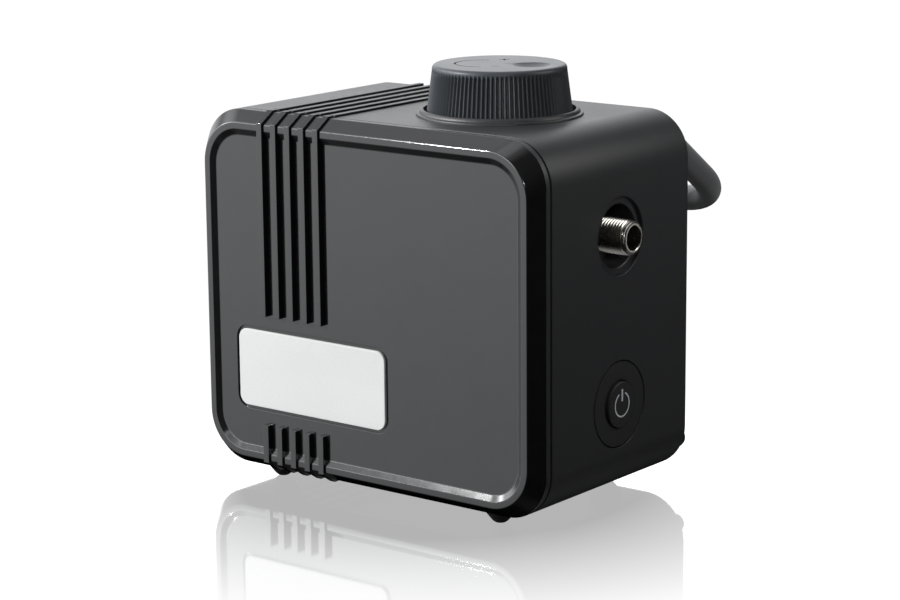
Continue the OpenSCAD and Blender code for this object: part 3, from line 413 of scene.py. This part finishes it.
def rib_outline(up, end_z):
    """The rib's side, from the seam round the rim to its square end. up is 1 above and -1 below."""
    edge_z = TOP_Z if up > 0 else BOTTOM_Z
    return [
        (COVER_BACK_Y, edge_z + up * RIB_H), (FRONT_Y + CHAMFER_D - 0.2, edge_z + up * RIB_H),
        (FRONT_Y - RIB_H, edge_z - up * (CHAMFER - 0.42)), (FRONT_Y - RIB_H, end_z),
        (PANEL_Y + 0.6, end_z), (PANEL_Y + 0.6, edge_z - up * 4.5),
        (COVER_BACK_Y, edge_z - up * 1.2),
    ]


for left in rib_lefts:
    side_profile(cover, rib_outline(1, BADGE_Z + BADGE_CLEAR), left, left + RIB_W)
    side_profile(cover, rib_outline(-1, BADGE_Z - BADGE_CLEAR), left, left + RIB_W)

# %% [markdown]
# The narrow land beside the seam is textured like the housing, so that the join between two mouldings
# does not show as a shiny stripe.

# %% Textured land
bmesh.ops.recalc_face_normals(cover, faces=list(cover.faces))
for face in cover.faces:
    middle = face.calc_center_median()
    past_x = max(abs(middle.x) - (WIDTH / 2 - CORNER_R), 0)
    past_z = max(abs(middle.z - MID_Z) - (HEIGHT / 2 - CORNER_R), 0)
    outside = math.hypot(past_x, past_z) > CORNER_R - 3
    if outside and abs(face.normal.y) < 0.3 and FRONT_Y + CHAMFER_D - 0.3 < middle.y < COVER_BACK_Y + 0.05:
        face.material_index = 1
front = into_object(cover, "front_cover_shell")
dress(front, gloss_finish, "cover_plastic", "case", "front_cover")
front.data.materials.append(case_finish)

# %% [markdown]
# ## Badge
# A plain satin plate sits in the pocket. Its edge is rounded, and the rounding catches the
# light as a thin line. The name that such a plate carries is left out.

# %% Badge plate
plate = bmesh.new()
sheet_loops = [rounded_loop(plate, BADGE_W, BADGE_H, BADGE_R, y, BADGE_X, BADGE_Z)
               for y in (badge_low.y, badge_high.y)]
bridge(plate, *sheet_loops)
for loop in sheet_loops:
    cap(plate, loop)
soften(plate, sheet_loops[0], 0.28)
dress(into_object(plate, "satin_badge"), badge_finish, "badge_metal", "case", "badge_plate")

# %% [markdown]
# ## Housing
# The housing is the deep matte box behind the seam. It could be carved from a block, but a chain of
# loops gives clean walls and even corners: outside, round the back, into the recess for the rear cover,
# and forward again on the inside. Two round holes are then carved through the right wall.

# %% Housing shell
REAR_W, REAR_H = rear_high.x - rear_low.x + 0.5, rear_high.z - rear_low.z + 0.5
REAR_Z = (rear_low.z + rear_high.z) / 2
REAR_R, REAR_T = 8.0, 2.2
WELL_R, WELL_STEP_R, WELL_DEPTH = 8.7, 10.7, 8.5
BEZEL_R = (bezel_high.z - bezel_low.z) / 2
BEZEL_HOLE_R = BEZEL_R + 0.25
LIP_W, LIP_T, LIP_UNDERCUT = 2.5, 2.2, 2

shell = bmesh.new()


def rear_loop(grow, y):
    return rounded_loop(shell, REAR_W + 2 * grow, REAR_H + 2 * grow, REAR_R + grow, y, 0, REAR_Z)


front_edge = rounded_loop(shell, WIDTH, HEIGHT, CORNER_R, HOUSING_Y)
back_edge = rounded_loop(shell, WIDTH, HEIGHT, CORNER_R, BACK_Y)
recess = [rear_loop(0, BACK_Y), rear_loop(0, BACK_Y - REAR_T), rear_loop(-LIP_W, BACK_Y - REAR_T),
          rear_loop(-LIP_W, BACK_Y - REAR_T - LIP_T), rear_loop(LIP_UNDERCUT, BACK_Y - REAR_T - LIP_T),
          rear_loop(LIP_UNDERCUT, BACK_Y - WALL)]
inside = [rounded_loop(shell, WIDTH - 2 * WALL, HEIGHT - 2 * WALL, CORNER_R - WALL, y)
          for y in (BACK_Y - WALL, HOUSING_Y)]
bridge(shell, front_edge, back_edge, *recess, *inside)
bridge(shell, inside[-1], front_edge)
soften(shell, back_edge, 0.7, 4)
soften(shell, front_edge, 0.2)
soften(shell, recess[0], 0.3)
housing = into_object(shell, "matte_housing")

holes = bmesh.new()
side_holes = ((OUTLET_Z, WELL_STEP_R), (BUTTON_Z, BEZEL_HOLE_R))
for hole_z, radius in side_holes:
    bar(holes, (SIDE_X - 4, AXIS_Y, hole_z), (SIDE_X + 2, AXIS_Y, hole_z), radius)
carve(housing, into_object(holes, "wall_holes"))
print("housing:", len(housing.data.polygons), "faces")

# %% [markdown]
# The hole edges are rounded after the carving, and the ribs, the collar round the knob, the well behind
# the outlet and the seat behind the bezel are added as closed shells in the same mesh.

# %% Housing details
detail = bmesh.new()
detail.from_mesh(housing.data)
bmesh.ops.scale(detail, verts=list(detail.verts), vec=(1 / MM,) * 3)
rims = []
for edge in detail.edges:
    ends = [v.co for v in edge.verts]
    on_side = all(abs(p.x - SIDE_X) < 0.01 for p in ends)
    for hole_z, radius in side_holes:
        if on_side and all(abs(math.hypot(p.y - AXIS_Y, p.z - hole_z) - radius) < 0.05 for p in ends):
            rims.append(edge)
soften(detail, rims, 0.25, 3)
for left in rib_lefts:
    block(detail, left, left + RIB_W, HOUSING_Y, BACK_Y, TOP_Z - 1, TOP_Z + RIB_H, RIB_EDGE)
    block(detail, left, left + RIB_W, HOUSING_Y, BACK_Y, BOTTOM_Z - RIB_H, BOTTOM_Z + 1, RIB_EDGE)
collar = [(-0.6, 23.0), (0.25, 23.0), (0.5, 22.9), (0.62, 22.6), (0.66, 22.35), (0.75, 22.15),
          (1.1, 22.05), (1.4, 21.85), (1.62, 21.55), (COLLAR_H, 21.25), (1.62, 21.0), (1.4, 20.9),
          (-0.6, 20.9)]
spun(detail, collar, (KNOB_X, AXIS_Y, TOP_Z), "Z", 128, closed=True)
well = [(-1.0, 11.5), (-1.0, WELL_R + 0.25), (-1.25, WELL_R), (-WELL_DEPTH, WELL_R), (-WELL_DEPTH, 4.5),
        (-WELL_DEPTH - WALL, 4.5), (-WELL_DEPTH - WALL, 11.5)]
spun(detail, well, (SIDE_X, AXIS_Y, OUTLET_Z), "X", 128, closed=True)
seat_ring = [(-3, BEZEL_R + 1.8), (-3, BEZEL_R - 2), (-5, BEZEL_R - 2), (-5, BEZEL_R + 1.8)]
spun(detail, seat_ring, (SIDE_X, AXIS_Y, BUTTON_Z), "X", 96, closed=True)
bpy.data.objects.remove(housing)
housing = into_object(detail, "matte_housing")
dress(housing, case_finish, "case_plastic", "case", "main_housing")

# %% [markdown]
# ## Regulator knob
# The knob is a turned cap with 96 upright flutes, a smooth band above them, and a flat top. One spin with
# eight steps to a flute gives the cap, and the wall is then drawn in between the crests. The flutes end
# in round tops because the depth fades out below the band.

# %% Fluted cap
FLUTES, FLUTE_DEPTH, FLUTE_TOP = 96, 0.7, KNOB_H - 1.5
FLUTE_END, VALLEY_WIDTH, SKIRT = 0.9, 1.35, 0.3
FOOT_R, BAND_R, SHOULDER_R = 20.1, 18.5, 1.15
HOLLOW_R, HOLLOW_Z = 16.5, 3.5
knob = bmesh.new()
rows = 14
wall_rows = [(SKIRT + (FLUTE_TOP - 0.2) * i / rows, FOOT_R + (BAND_R - FOOT_R) * i / rows)
             for i in range(rows + 1)]
arc = [(KNOB_H - SHOULDER_R + SHOULDER_R * math.sin(t), BAND_R - SHOULDER_R + SHOULDER_R * math.cos(t))
       for t in (math.radians(a) for a in (0, 15, 30, 45, 60, 75, 90))]
spun(knob, [(HOLLOW_Z, 0), (HOLLOW_Z, HOLLOW_R), (SKIRT, HOLLOW_R + 0.5)] + wall_rows + arc + [(KNOB_H, 0)],
     (KNOB_X, AXIS_Y, TOP_Z), "Z", FLUTES * 8)
centre = Vector((KNOB_X, AXIS_Y, 0))
for v in knob.verts:
    out = Vector((v.co.x, v.co.y, 0)) - centre
    height = v.co.z - TOP_Z
    if out.length < FOOT_R - 2.2 or height > FLUTE_TOP:
        continue
    fade = min(1.0, (FLUTE_TOP - height) / FLUTE_END)
    fade = math.sqrt(max(0.0, fade * (2 - fade)))
    valley = 0.5 - 0.5 * math.cos(FLUTES * math.atan2(out.y, out.x))
    valley = min(1.0, valley * VALLEY_WIDTH)
    v.co -= out.normalized() * FLUTE_DEPTH * valley * fade
cap_piece = into_object(knob, "fluted_knob", 40)

# %% [markdown]
# The top has a round finger dimple, a curved line and the marks for more and less air. A sphere, part of
# a ring and a few small blocks are joined in one cutter and carved out together.

# %% Dimple and marks
marks = bmesh.new()
DIMPLE_R, DIMPLE_DEPTH = 12.4, 1.2
ball = bmesh.ops.create_uvsphere(marks, u_segments=96, v_segments=64, radius=DIMPLE_R)["verts"]
dimple_at = (KNOB_X + 9.4, AXIS_Y + 2.2, knob_high.z + DIMPLE_R - DIMPLE_DEPTH)
bmesh.ops.translate(marks, verts=ball, vec=dimple_at)
curve_at = Vector((KNOB_X - 3.9, AXIS_Y - 3.1, knob_high.z))
MARK_DEPTH, MARK_TOP, MARK_W, CURVE_R, CURVE_W = 0.25, 0.4, 0.55, 7.0, 0.5
square = [(-MARK_DEPTH, CURVE_R), (MARK_TOP, CURVE_R), (MARK_TOP, CURVE_R + CURVE_W),
          (-MARK_DEPTH, CURVE_R + CURVE_W)]
corners = [marks.verts.new(curve_at + Vector((r, 0, a))) for a, r in square]
bmesh.ops.rotate(marks, verts=corners, cent=curve_at, matrix=Matrix.Rotation(math.radians(110), 3, "Z"))
start_face = marks.faces.new(corners)
bmesh.ops.spin(marks, geom=[start_face], cent=curve_at, axis=(0, 0, 1), angle=math.radians(195),
               steps=48, use_merge=False, use_duplicate=False)


def mark_bar(x, y, length, turn_deg):
    """A short stroke on the knob's top."""
    verts = bmesh.ops.create_cube(marks, size=1)["verts"]
    bmesh.ops.scale(marks, verts=verts, vec=(length, MARK_W, MARK_DEPTH + MARK_TOP))
    turn = Matrix.Rotation(math.radians(turn_deg), 3, "Z")
    bmesh.ops.rotate(marks, verts=verts, cent=(0, 0, 0), matrix=turn)
    bmesh.ops.translate(marks, verts=verts, vec=(x, y, knob_high.z + (MARK_TOP - MARK_DEPTH) / 2))


for turn_deg in (38, 128):
    mark_bar(KNOB_X - 3.6, AXIS_Y + 7.0, 2.8, turn_deg)
mark_bar(KNOB_X + 3.0, AXIS_Y - 5.8, 2.0, 38)
bmesh.ops.recalc_face_normals(marks, faces=list(marks.faces))
carve(cap_piece, into_object(marks, "knob_marks"), 40)
dress(cap_piece, knob_finish, "knob_plastic", "knob", "regulator_knob")

# %% [markdown]
# ## Threaded outlet
# The outlet is a tube with a male thread of 0.907 mm pitch. Spinning a V section with a step along the
# axis would leave two ends to close, so the section here is a closed ridge that winds round a plain core.
# Its last turns are drawn in to meet the chamfer at the mouth.

# %% Outlet thread
PITCH, CREST_R = 0.907, (thread_high.z - thread_low.z) / 2
ROOT_R, MOUTH_X = CREST_R - 0.58, thread_high.x
BORE_R, DRILL_R = 3.4, 1.4
CORE_X = SIDE_X - WELL_DEPTH
fitting = bmesh.new()
core = [(CORE_X - WALL - 4.5, DRILL_R), (CORE_X - WALL - 4.5, ROOT_R), (MOUTH_X - 1.0, ROOT_R),
        (MOUTH_X - 0.85, ROOT_R + 0.25), (MOUTH_X - 0.3, ROOT_R + 0.25), (MOUTH_X - 0.08, ROOT_R + 0.15),
        (MOUTH_X, ROOT_R - 0.05), (MOUTH_X, BORE_R + 0.15), (MOUTH_X - 0.15, BORE_R), (CORE_X + 1, BORE_R),
        (CORE_X + 1, DRILL_R)]
spun(fitting, core, (0, AXIS_Y, OUTLET_Z), "X", 96, closed=True)
turns, steps_per_turn = 14, 64
first_x = CORE_X - 0.4
ridge = [(PITCH * 0.12, ROOT_R - 0.05), (PITCH * 0.4, CREST_R - 0.06), (PITCH * 0.46, CREST_R),
         (PITCH * 0.54, CREST_R), (PITCH * 0.6, CREST_R - 0.06), (PITCH * 0.88, ROOT_R - 0.05)]
old = set(fitting.verts)
section = fitting.faces.new([fitting.verts.new((first_x + a, AXIS_Y, OUTLET_Z + r)) for a, r in ridge])
bmesh.ops.spin(
    fitting, geom=[section], cent=(first_x, AXIS_Y, OUTLET_Z), axis=(1, 0, 0), angle=math.tau * turns,
    steps=turns * steps_per_turn, dvec=(PITCH / steps_per_turn, 0, 0), use_duplicate=False,
)
for v in set(fitting.verts) - old:
    out = Vector((0, v.co.y - AXIS_Y, v.co.z - OUTLET_Z))
    limit = CREST_R - max(0.0, v.co.x - (MOUTH_X - 1.6)) * 0.6
    if v.co.x > MOUTH_X - 0.35:
        v.co.x = MOUTH_X - 0.35
        limit = ROOT_R - 0.15
    if out.length > limit:
        v.co -= out.normalized() * (out.length - limit)
dress(into_object(fitting, "threaded_outlet", 30), nickel_finish, "nickel", "case", "outlet_fitting")

# %% [markdown]
# ## Power button
# A flat round bezel lies flush in the side, a hair smaller than its hole, and the button stands a little
# proud of it with a soft edge.

# %% Bezel and button
bezel = bmesh.new()
BUTTON_R, BEZEL_T = 6.35, 2.97
spun(bezel, [(-BEZEL_T, BUTTON_R + 0.15), (-0.35, BUTTON_R + 0.15), (-0.12, BUTTON_R + 0.25),
             (-0.05, BUTTON_R + 0.5), (0, BUTTON_R + 0.9), (0, BEZEL_R - 0.4), (-0.12, BEZEL_R - 0.1),
             (-0.35, BEZEL_R), (-BEZEL_T, BEZEL_R)],
     (SIDE_X, AXIS_Y, BUTTON_Z), "X", 128, closed=True)
dress(into_object(bezel, "button_surround"), button_finish, "button_plastic", "case", "button_bezel")

PROUD = node_box("power_button")[1].x - SIDE_X
push = bmesh.new()
spun(push, [(-9, 0), (-9, 2.5), (-4.8, 2.5), (-4.8, BUTTON_R + 1.2), (-3.3, BUTTON_R + 1.2), (-3.3, BUTTON_R),
            (PROUD - 0.5, BUTTON_R), (PROUD - 0.22, BUTTON_R - 0.08), (PROUD - 0.06, BUTTON_R - 0.28),
            (PROUD - 0.02, BUTTON_R - 0.6), (PROUD - 0.02, 0)],
     (SIDE_X, AXIS_Y, BUTTON_Z), "X", 96)
dress(into_object(push, "round_button"), button_finish, "button_plastic", "button", "power_button")

# %% [markdown]
# The symbol is printed on the button: an open ring and a stroke, both a hair proud of its face. One
# flattened circle spun round the button's axis gives the ring.

# %% Power symbol
symbol = bmesh.new()
SYMBOL_R, STROKE, PRINT_X = 3.3, 0.42, SIDE_X + PROUD - 0.12
tip = bmesh.ops.create_circle(symbol, cap_ends=True, segments=12, radius=STROKE)["verts"]
bmesh.ops.scale(symbol, verts=tip, vec=(1, 0.28, 1))
bmesh.ops.rotate(symbol, verts=tip, cent=(0, 0, 0), matrix=Matrix.Rotation(math.pi / 2, 3, "Z"))
bmesh.ops.translate(symbol, verts=tip, vec=(PRINT_X, AXIS_Y + SYMBOL_R, BUTTON_Z))
opening = 24
start = Matrix.Rotation(math.radians(90 + opening), 3, "X")
bmesh.ops.rotate(symbol, verts=tip, cent=(0, AXIS_Y, BUTTON_Z), matrix=start)
bmesh.ops.spin(symbol, geom=list(symbol.faces), cent=(PRINT_X, AXIS_Y, BUTTON_Z), axis=(1, 0, 0),
               angle=math.radians(360 - 2 * opening), steps=56, use_duplicate=False)
block(symbol, PRINT_X - 0.1, PRINT_X + 0.11, AXIS_Y - STROKE, AXIS_Y + STROKE,
      BUTTON_Z + 0.9, BUTTON_Z + 4.4, 0.09)
dress(into_object(symbol, "power_mark"), print_finish, "symbol_print", "button", "power_symbol")

# %% [markdown]
# ## Airbrush loop
# A rubber sleeve covers a bent steel wire: two arms slope down from the back and a half ring joins them.
# A circle is spun through the half ring, and its two ends are pulled straight back into the case.

# %% Rubber sleeve
HANGER_X, HANGER_Z, BEND_R, ARM, SLEEVE_R = SIDE_X - 6.4, TOP_Z - 9.4, 16.5, 20.5, 3.7
SLOPE = math.radians(-35)
sleeve = bmesh.new()
ring = bmesh.ops.create_circle(sleeve, cap_ends=True, segments=40, radius=SLEEVE_R)["verts"]
bmesh.ops.rotate(sleeve, verts=ring, cent=(0, 0, 0), matrix=Matrix.Rotation(math.pi / 2, 3, "X"))
bmesh.ops.translate(sleeve, verts=ring, vec=(0, ARM, 0))
first = ring[0].link_faces[0]
bent = bmesh.ops.spin(sleeve, geom=[first], cent=(-BEND_R, ARM, 0), axis=(0, 0, 1), angle=math.pi, steps=48,
                      use_duplicate=False)
last = next(f for f in bent["geom_last"] if isinstance(f, bmesh.types.BMFace))
for end in (first, last):
    pulled = bmesh.ops.extrude_face_region(sleeve, geom=[end])["geom"]
    tip = [v for v in pulled if isinstance(v, bmesh.types.BMVert)]
    bmesh.ops.translate(sleeve, verts=tip, vec=(0, -ARM - 6, 0))
    if end.is_valid:
        bmesh.ops.delete(sleeve, geom=[end], context="FACES_ONLY")
bmesh.ops.remove_doubles(sleeve, verts=list(sleeve.verts), dist=1e-4)
bmesh.ops.rotate(sleeve, verts=list(sleeve.verts), cent=(0, 0, 0), matrix=Matrix.Rotation(SLOPE, 3, "X"))
bmesh.ops.translate(sleeve, verts=list(sleeve.verts), vec=(HANGER_X, BACK_Y, HANGER_Z))
cut = bmesh.ops.bisect_plane(sleeve, geom=list(sleeve.verts) + list(sleeve.edges) + list(sleeve.faces),
                             plane_co=(0, BACK_Y + 0.03, 0), plane_no=(0, -1, 0), clear_outer=True)
edges = [e for e in cut["geom_cut"] if isinstance(e, bmesh.types.BMEdge)]
bmesh.ops.holes_fill(sleeve, edges=edges, sides=200)
dress(into_object(sleeve, "loop_sleeve", 50), sleeve_finish, "sleeve_rubber", "case", "hanger_sleeve")

# %% [markdown]
# ## Feet and bumpers
# The feet are small rubber domes, and two shorter studs at the back keep the case off a wall. All of them
# are spun from a few points.

# %% Feet
feet_box = node_box("feet")
FOOT_X, RUBBER_R, PLUG_R, PLUG_Z = 39.0, 4.5, 2.2, 8.2
feet = bmesh.new()
foot = [(0, 0), (0, 1.0), (0.1, 1.5), (0.5, 2.1), (1.2, 2.7), (2.2, 3.5), (3.2, 4.2),
        (BOTTOM_Z - 0.3, RUBBER_R), (BOTTOM_Z - 0.02, RUBBER_R - 0.1), (BOTTOM_Z - 0.02, PLUG_R),
        (PLUG_Z, PLUG_R), (PLUG_Z, 0)]
for x in (-FOOT_X, FOOT_X):
    for y in (feet_box[0].y + RUBBER_R, feet_box[1].y - RUBBER_R):
        spun(feet, foot, (x, y, 0), "Z", 48)
dress(into_object(feet, "rubber_feet", 50), rubber_finish, "soft_rubber", "case", "feet")

bumper_low, bumper_high = node_box("rear_bumpers")
bumpers = bmesh.new()
stud_out = bumper_high.y - BACK_Y
STUD_R, PEG_R = 3, 1.2
stud = [(-3, 0), (-3, PEG_R), (0.03, PEG_R), (0.03, STUD_R), (1.6, 2.95), (2.4, 2.7), (2.9, 2.2),
        (stud_out, 1.4), (stud_out, 0)]
for x in (-bumper_high.x + STUD_R, bumper_high.x - STUD_R):
    spun(bumpers, stud, (x, BACK_Y, (bumper_low.z + bumper_high.z) / 2), "Y", 48)
dress(into_object(bumpers, "rear_studs", 50), rubber_finish, "soft_rubber", "case", "rear_bumpers")

# %% [markdown]
# ## Stage, lights and camera
# A pale floor and soft light from a painted sky. The sky holds a tall bank of light at the left of the
# front, which the polished cover reflects, and seven round soft boxes overhead, at the left, behind and
# below. Away from them it is dark, so the right side stays black. The camera sees plain white instead.


# %% Sky with soft boxes
def soft_box(tree, direction, inner_deg, outer_deg, strength):
    """A round soft light in the sky: full inside the inner angle, gone outside the outer one."""
    nodes, links = tree.nodes, tree.links
    where = nodes.new("ShaderNodeTexCoord")
    dot = nodes.new("ShaderNodeVectorMath")
    dot.operation = "DOT_PRODUCT"
    dot.inputs[1].default_value = Vector(direction).normalized()
    links.new(where.outputs["Generated"], dot.inputs[0])
    return window(tree, dot.outputs["Value"], inner_deg, outer_deg, strength)


def window(tree, cosine, inner_deg, outer_deg, strength):
    """Full inside the inner angle, gone outside the outer one, with a soft edge between them."""
    fall = tree.nodes.new("ShaderNodeMapRange")
    fall.interpolation_type = "SMOOTHSTEP"
    fall.inputs["From Min"].default_value = math.cos(math.radians(outer_deg))
    fall.inputs["From Max"].default_value = math.cos(math.radians(inner_deg))
    fall.inputs["To Max"].default_value = strength
    tree.links.new(cosine, fall.inputs["Value"])
    return fall.outputs["Result"]


def light_bank(tree, heading, inner_deg, outer_deg, levels):
    """A tall light: a window round a heading, with its own strength at each elevation in degrees."""
    nodes, links = tree.nodes, tree.links
    where = nodes.new("ShaderNodeTexCoord")
    flat = nodes.new("ShaderNodeVectorMath")
    flat.operation = "MULTIPLY"
    flat.inputs[1].default_value = (1, 1, 0)
    links.new(where.outputs["Generated"], flat.inputs[0])
    unit = nodes.new("ShaderNodeVectorMath")
    unit.operation = "NORMALIZE"
    links.new(flat.outputs["Vector"], unit.inputs[0])
    dot = nodes.new("ShaderNodeVectorMath")
    dot.operation = "DOT_PRODUCT"
    dot.inputs[1].default_value = Vector(heading).normalized()
    links.new(unit.outputs["Vector"], dot.inputs[0])
    brightest = max(level for _, level in levels)
    around = window(tree, dot.outputs["Value"], inner_deg, outer_deg, brightest)
    split = nodes.new("ShaderNodeSeparateXYZ")
    links.new(where.outputs["Generated"], split.inputs[0])
    height = nodes.new("ShaderNodeMapRange")
    height.inputs["From Min"].default_value = -1
    links.new(split.outputs["Z"], height.inputs["Value"])
    ramp = nodes.new("ShaderNodeValToRGB")
    while len(ramp.color_ramp.elements) < len(levels):
        ramp.color_ramp.elements.new(0.5)
    for stop, (elevation, level) in zip(ramp.color_ramp.elements, levels):
        stop.position = (math.sin(math.radians(elevation)) + 1) / 2
        stop.color = [level / brightest] * 3 + [1]
    links.new(height.outputs["Result"], ramp.inputs["Fac"])
    times = nodes.new("ShaderNodeMath")
    times.operation = "MULTIPLY"
    links.new(around, times.inputs[0])
    links.new(ramp.outputs["Color"], times.inputs[1])
    return times.outputs[0]


def add_up(tree, sockets):
    total = sockets[0]
    for socket in sockets[1:]:
        plus = tree.nodes.new("ShaderNodeMath")
        plus.operation = "ADD"
        tree.links.new(total, plus.inputs[0])
        tree.links.new(socket, plus.inputs[1])
        total = plus.outputs[0]
    return total


world = bpy.data.worlds.new("studio")
bpy.context.scene.world = world
world.use_nodes = True
sky = world.node_tree
front_levels = [(-50, 0), (-28, 0.6), (-15, 1.35), (-8.7, 1.9), (2, 2.2), (16, 2.2), (18.5, 8),
                (21, 20), (23.5, 7), (26, 2.0), (42, 1.5), (50, 1.1), (70, 0.6)]
boxes = [
    light_bank(sky, (-0.66, -0.75, 0), 24, 46, front_levels),
    soft_box(sky, (-0.2, 0.2, 1.0), 15, 46, 1.1),
    soft_box(sky, (-0.75, 0.85, 0.42), 12, 34, 2.1),
    soft_box(sky, (-1.0, 0.1, -0.15), 10, 32, 0.5),
    soft_box(sky, (-1.0, -0.2, 0.5), 8, 30, 3.0),
    soft_box(sky, (0.603, 0.769, -0.17), 3, 10, 0.9),
    soft_box(sky, (0.4, 0.35, -0.85), 15, 36, 0.4),
    soft_box(sky, (0.5, 0.3, 0.75), 10, 40, 0.2),
]
light_sky = sky.nodes["Background"]
sky.links.new(add_up(sky, boxes), light_sky.inputs["Strength"])
seen_sky = sky.nodes.new("ShaderNodeBackground")
seen_sky.inputs["Strength"].default_value = 1.0
seen_sky.inputs["Color"].default_value = (1, 1, 1, 1)
light_sky.inputs["Color"].default_value = (0.97, 0.985, 1.0, 1)
ray = sky.nodes.new("ShaderNodeLightPath")
choose = sky.nodes.new("ShaderNodeMixShader")
sky.links.new(ray.outputs["Is Camera Ray"], choose.inputs["Fac"])
sky.links.new(light_sky.outputs[0], choose.inputs[1])
sky.links.new(seen_sky.outputs[0], choose.inputs[2])
sky.links.new(choose.outputs[0], sky.nodes["World Output"].inputs["Surface"])
print("lights in the sky:", len(boxes))


# %% [markdown]
# A lamp above the right side, near enough to fade as it goes down, gives the matte side its slow change
# from grey at the top to dark at the foot. A second one in front picks out the ridges of the knob and
# the ribs, and a third the thread.

# %% Lamps
def lamp(name, place, aim, size, watts):
    light = bpy.data.lights.new(name, "AREA")
    light.shape, light.size, light.energy = "DISK", size, watts
    obj = bpy.data.objects.new(name, light)
    bpy.context.scene.collection.objects.link(obj)
    turn = (Vector(aim) - Vector(place)).to_track_quat("-Z", "Y").to_matrix().to_4x4()
    obj.matrix_world = Matrix.Translation(place) @ turn


lamp("side_lamp", (0.17, 0.08, 0.18), (0.059, 0.03, 0.1), 0.1, 0.12)
lamp("ridge_lamp", (-0.25, -0.35, 0.3), (0.019, 0.0, 0.11), 0.03, 2.4)
lamp("thread_lamp", (0.26, -0.26, 0.21), (0.06, 0.0025, 0.0765), 0.03, 0.25)

# %% [markdown]
# The floor glows white, and a part of it mirrors the case. The mirror fades from the first distance and
# strength to the second, so the image is clear under the case and gone in front of it. Where this mirror
# shows dark sky, it darkens the floor round the case. That darkening is painted shade standing in for a
# contact shadow.

# %% Floor
FLOOR_R, FLOOR_Z = 6.0, -0.0001
# Near the case the floor is mostly mirror and paints a shade where it mirrors dark sky; far off it is plain
# white.
MIRROR_AND_SHADE_NEAR, MIRROR_AND_SHADE_FAR = (0.058, 0.55), (0.125, 0.02)
floor_mesh = bmesh.new()
bmesh.ops.create_circle(floor_mesh, cap_ends=True, segments=96, radius=FLOOR_R,
                        matrix=Matrix.Translation((0, 0, FLOOR_Z)))
mesh = bpy.data.meshes.new("pale_floor")
floor_mesh.to_mesh(mesh)
floor_mesh.free()
floor = bpy.data.objects.new("pale_floor", mesh)
bpy.context.scene.collection.objects.link(floor)
pale = bpy.data.materials.new("pale_acrylic")
pale.use_nodes = True
tree = pale.node_tree
where = tree.nodes.new("ShaderNodeTexCoord")
away = tree.nodes.new("ShaderNodeVectorMath")
away.operation = "LENGTH"
tree.links.new(where.outputs["Object"], away.inputs[0])
# Mirror strength by distance from the middle: a real reflection of the case, and painted shade round its
# foot.
fade = tree.nodes.new("ShaderNodeMapRange")
fade.inputs["From Min"].default_value, fade.inputs["To Min"].default_value = MIRROR_AND_SHADE_NEAR
fade.inputs["From Max"].default_value, fade.inputs["To Max"].default_value = MIRROR_AND_SHADE_FAR
tree.links.new(away.outputs["Value"], fade.inputs["Value"])
glow = tree.nodes.new("ShaderNodeEmission")
glow.inputs["Strength"].default_value = 1.0
shine = tree.nodes.new("ShaderNodeBsdfGlossy")
shine.inputs["Roughness"].default_value = 0.05
shine.inputs["Color"].default_value = (1, 1, 1, 1)
both = tree.nodes.new("ShaderNodeMixShader")
tree.links.new(fade.outputs["Result"], both.inputs["Fac"])
tree.links.new(glow.outputs[0], both.inputs[1])
tree.links.new(shine.outputs[0], both.inputs[2])
tree.links.new(both.outputs[0], tree.nodes["Material Output"].inputs["Surface"])
floor.data.materials.append(pale)
floor.visible_glossy = False
floor.visible_diffuse = False

# %% [markdown]
# The camera stands at the front right, a little above the case, where such a machine is usually looked
# at. It is tilted by half a degree.

# %% Camera
eye = Vector((0.45595, -0.57794, 0.21329))
target = Vector((0.00308, 0.0, 0.05233))
ROLL = math.radians(-0.491)
lens = bpy.data.cameras.new("camera")
lens.lens, lens.sensor_width = 106.93, 36.0
lens.clip_start, lens.clip_end = 0.01, 50
camera = bpy.data.objects.new("camera", lens)
bpy.context.scene.collection.objects.link(camera)
aim = (target - eye).to_track_quat("-Z", "Y").to_matrix().to_4x4()
camera.matrix_world = Matrix.Translation(eye) @ aim @ Matrix.Rotation(ROLL, 4, "Z")
bpy.context.scene.camera = camera
bpy.context.scene.view_settings.view_transform = "Standard"
print("camera at", [round(c, 3) for c in eye])
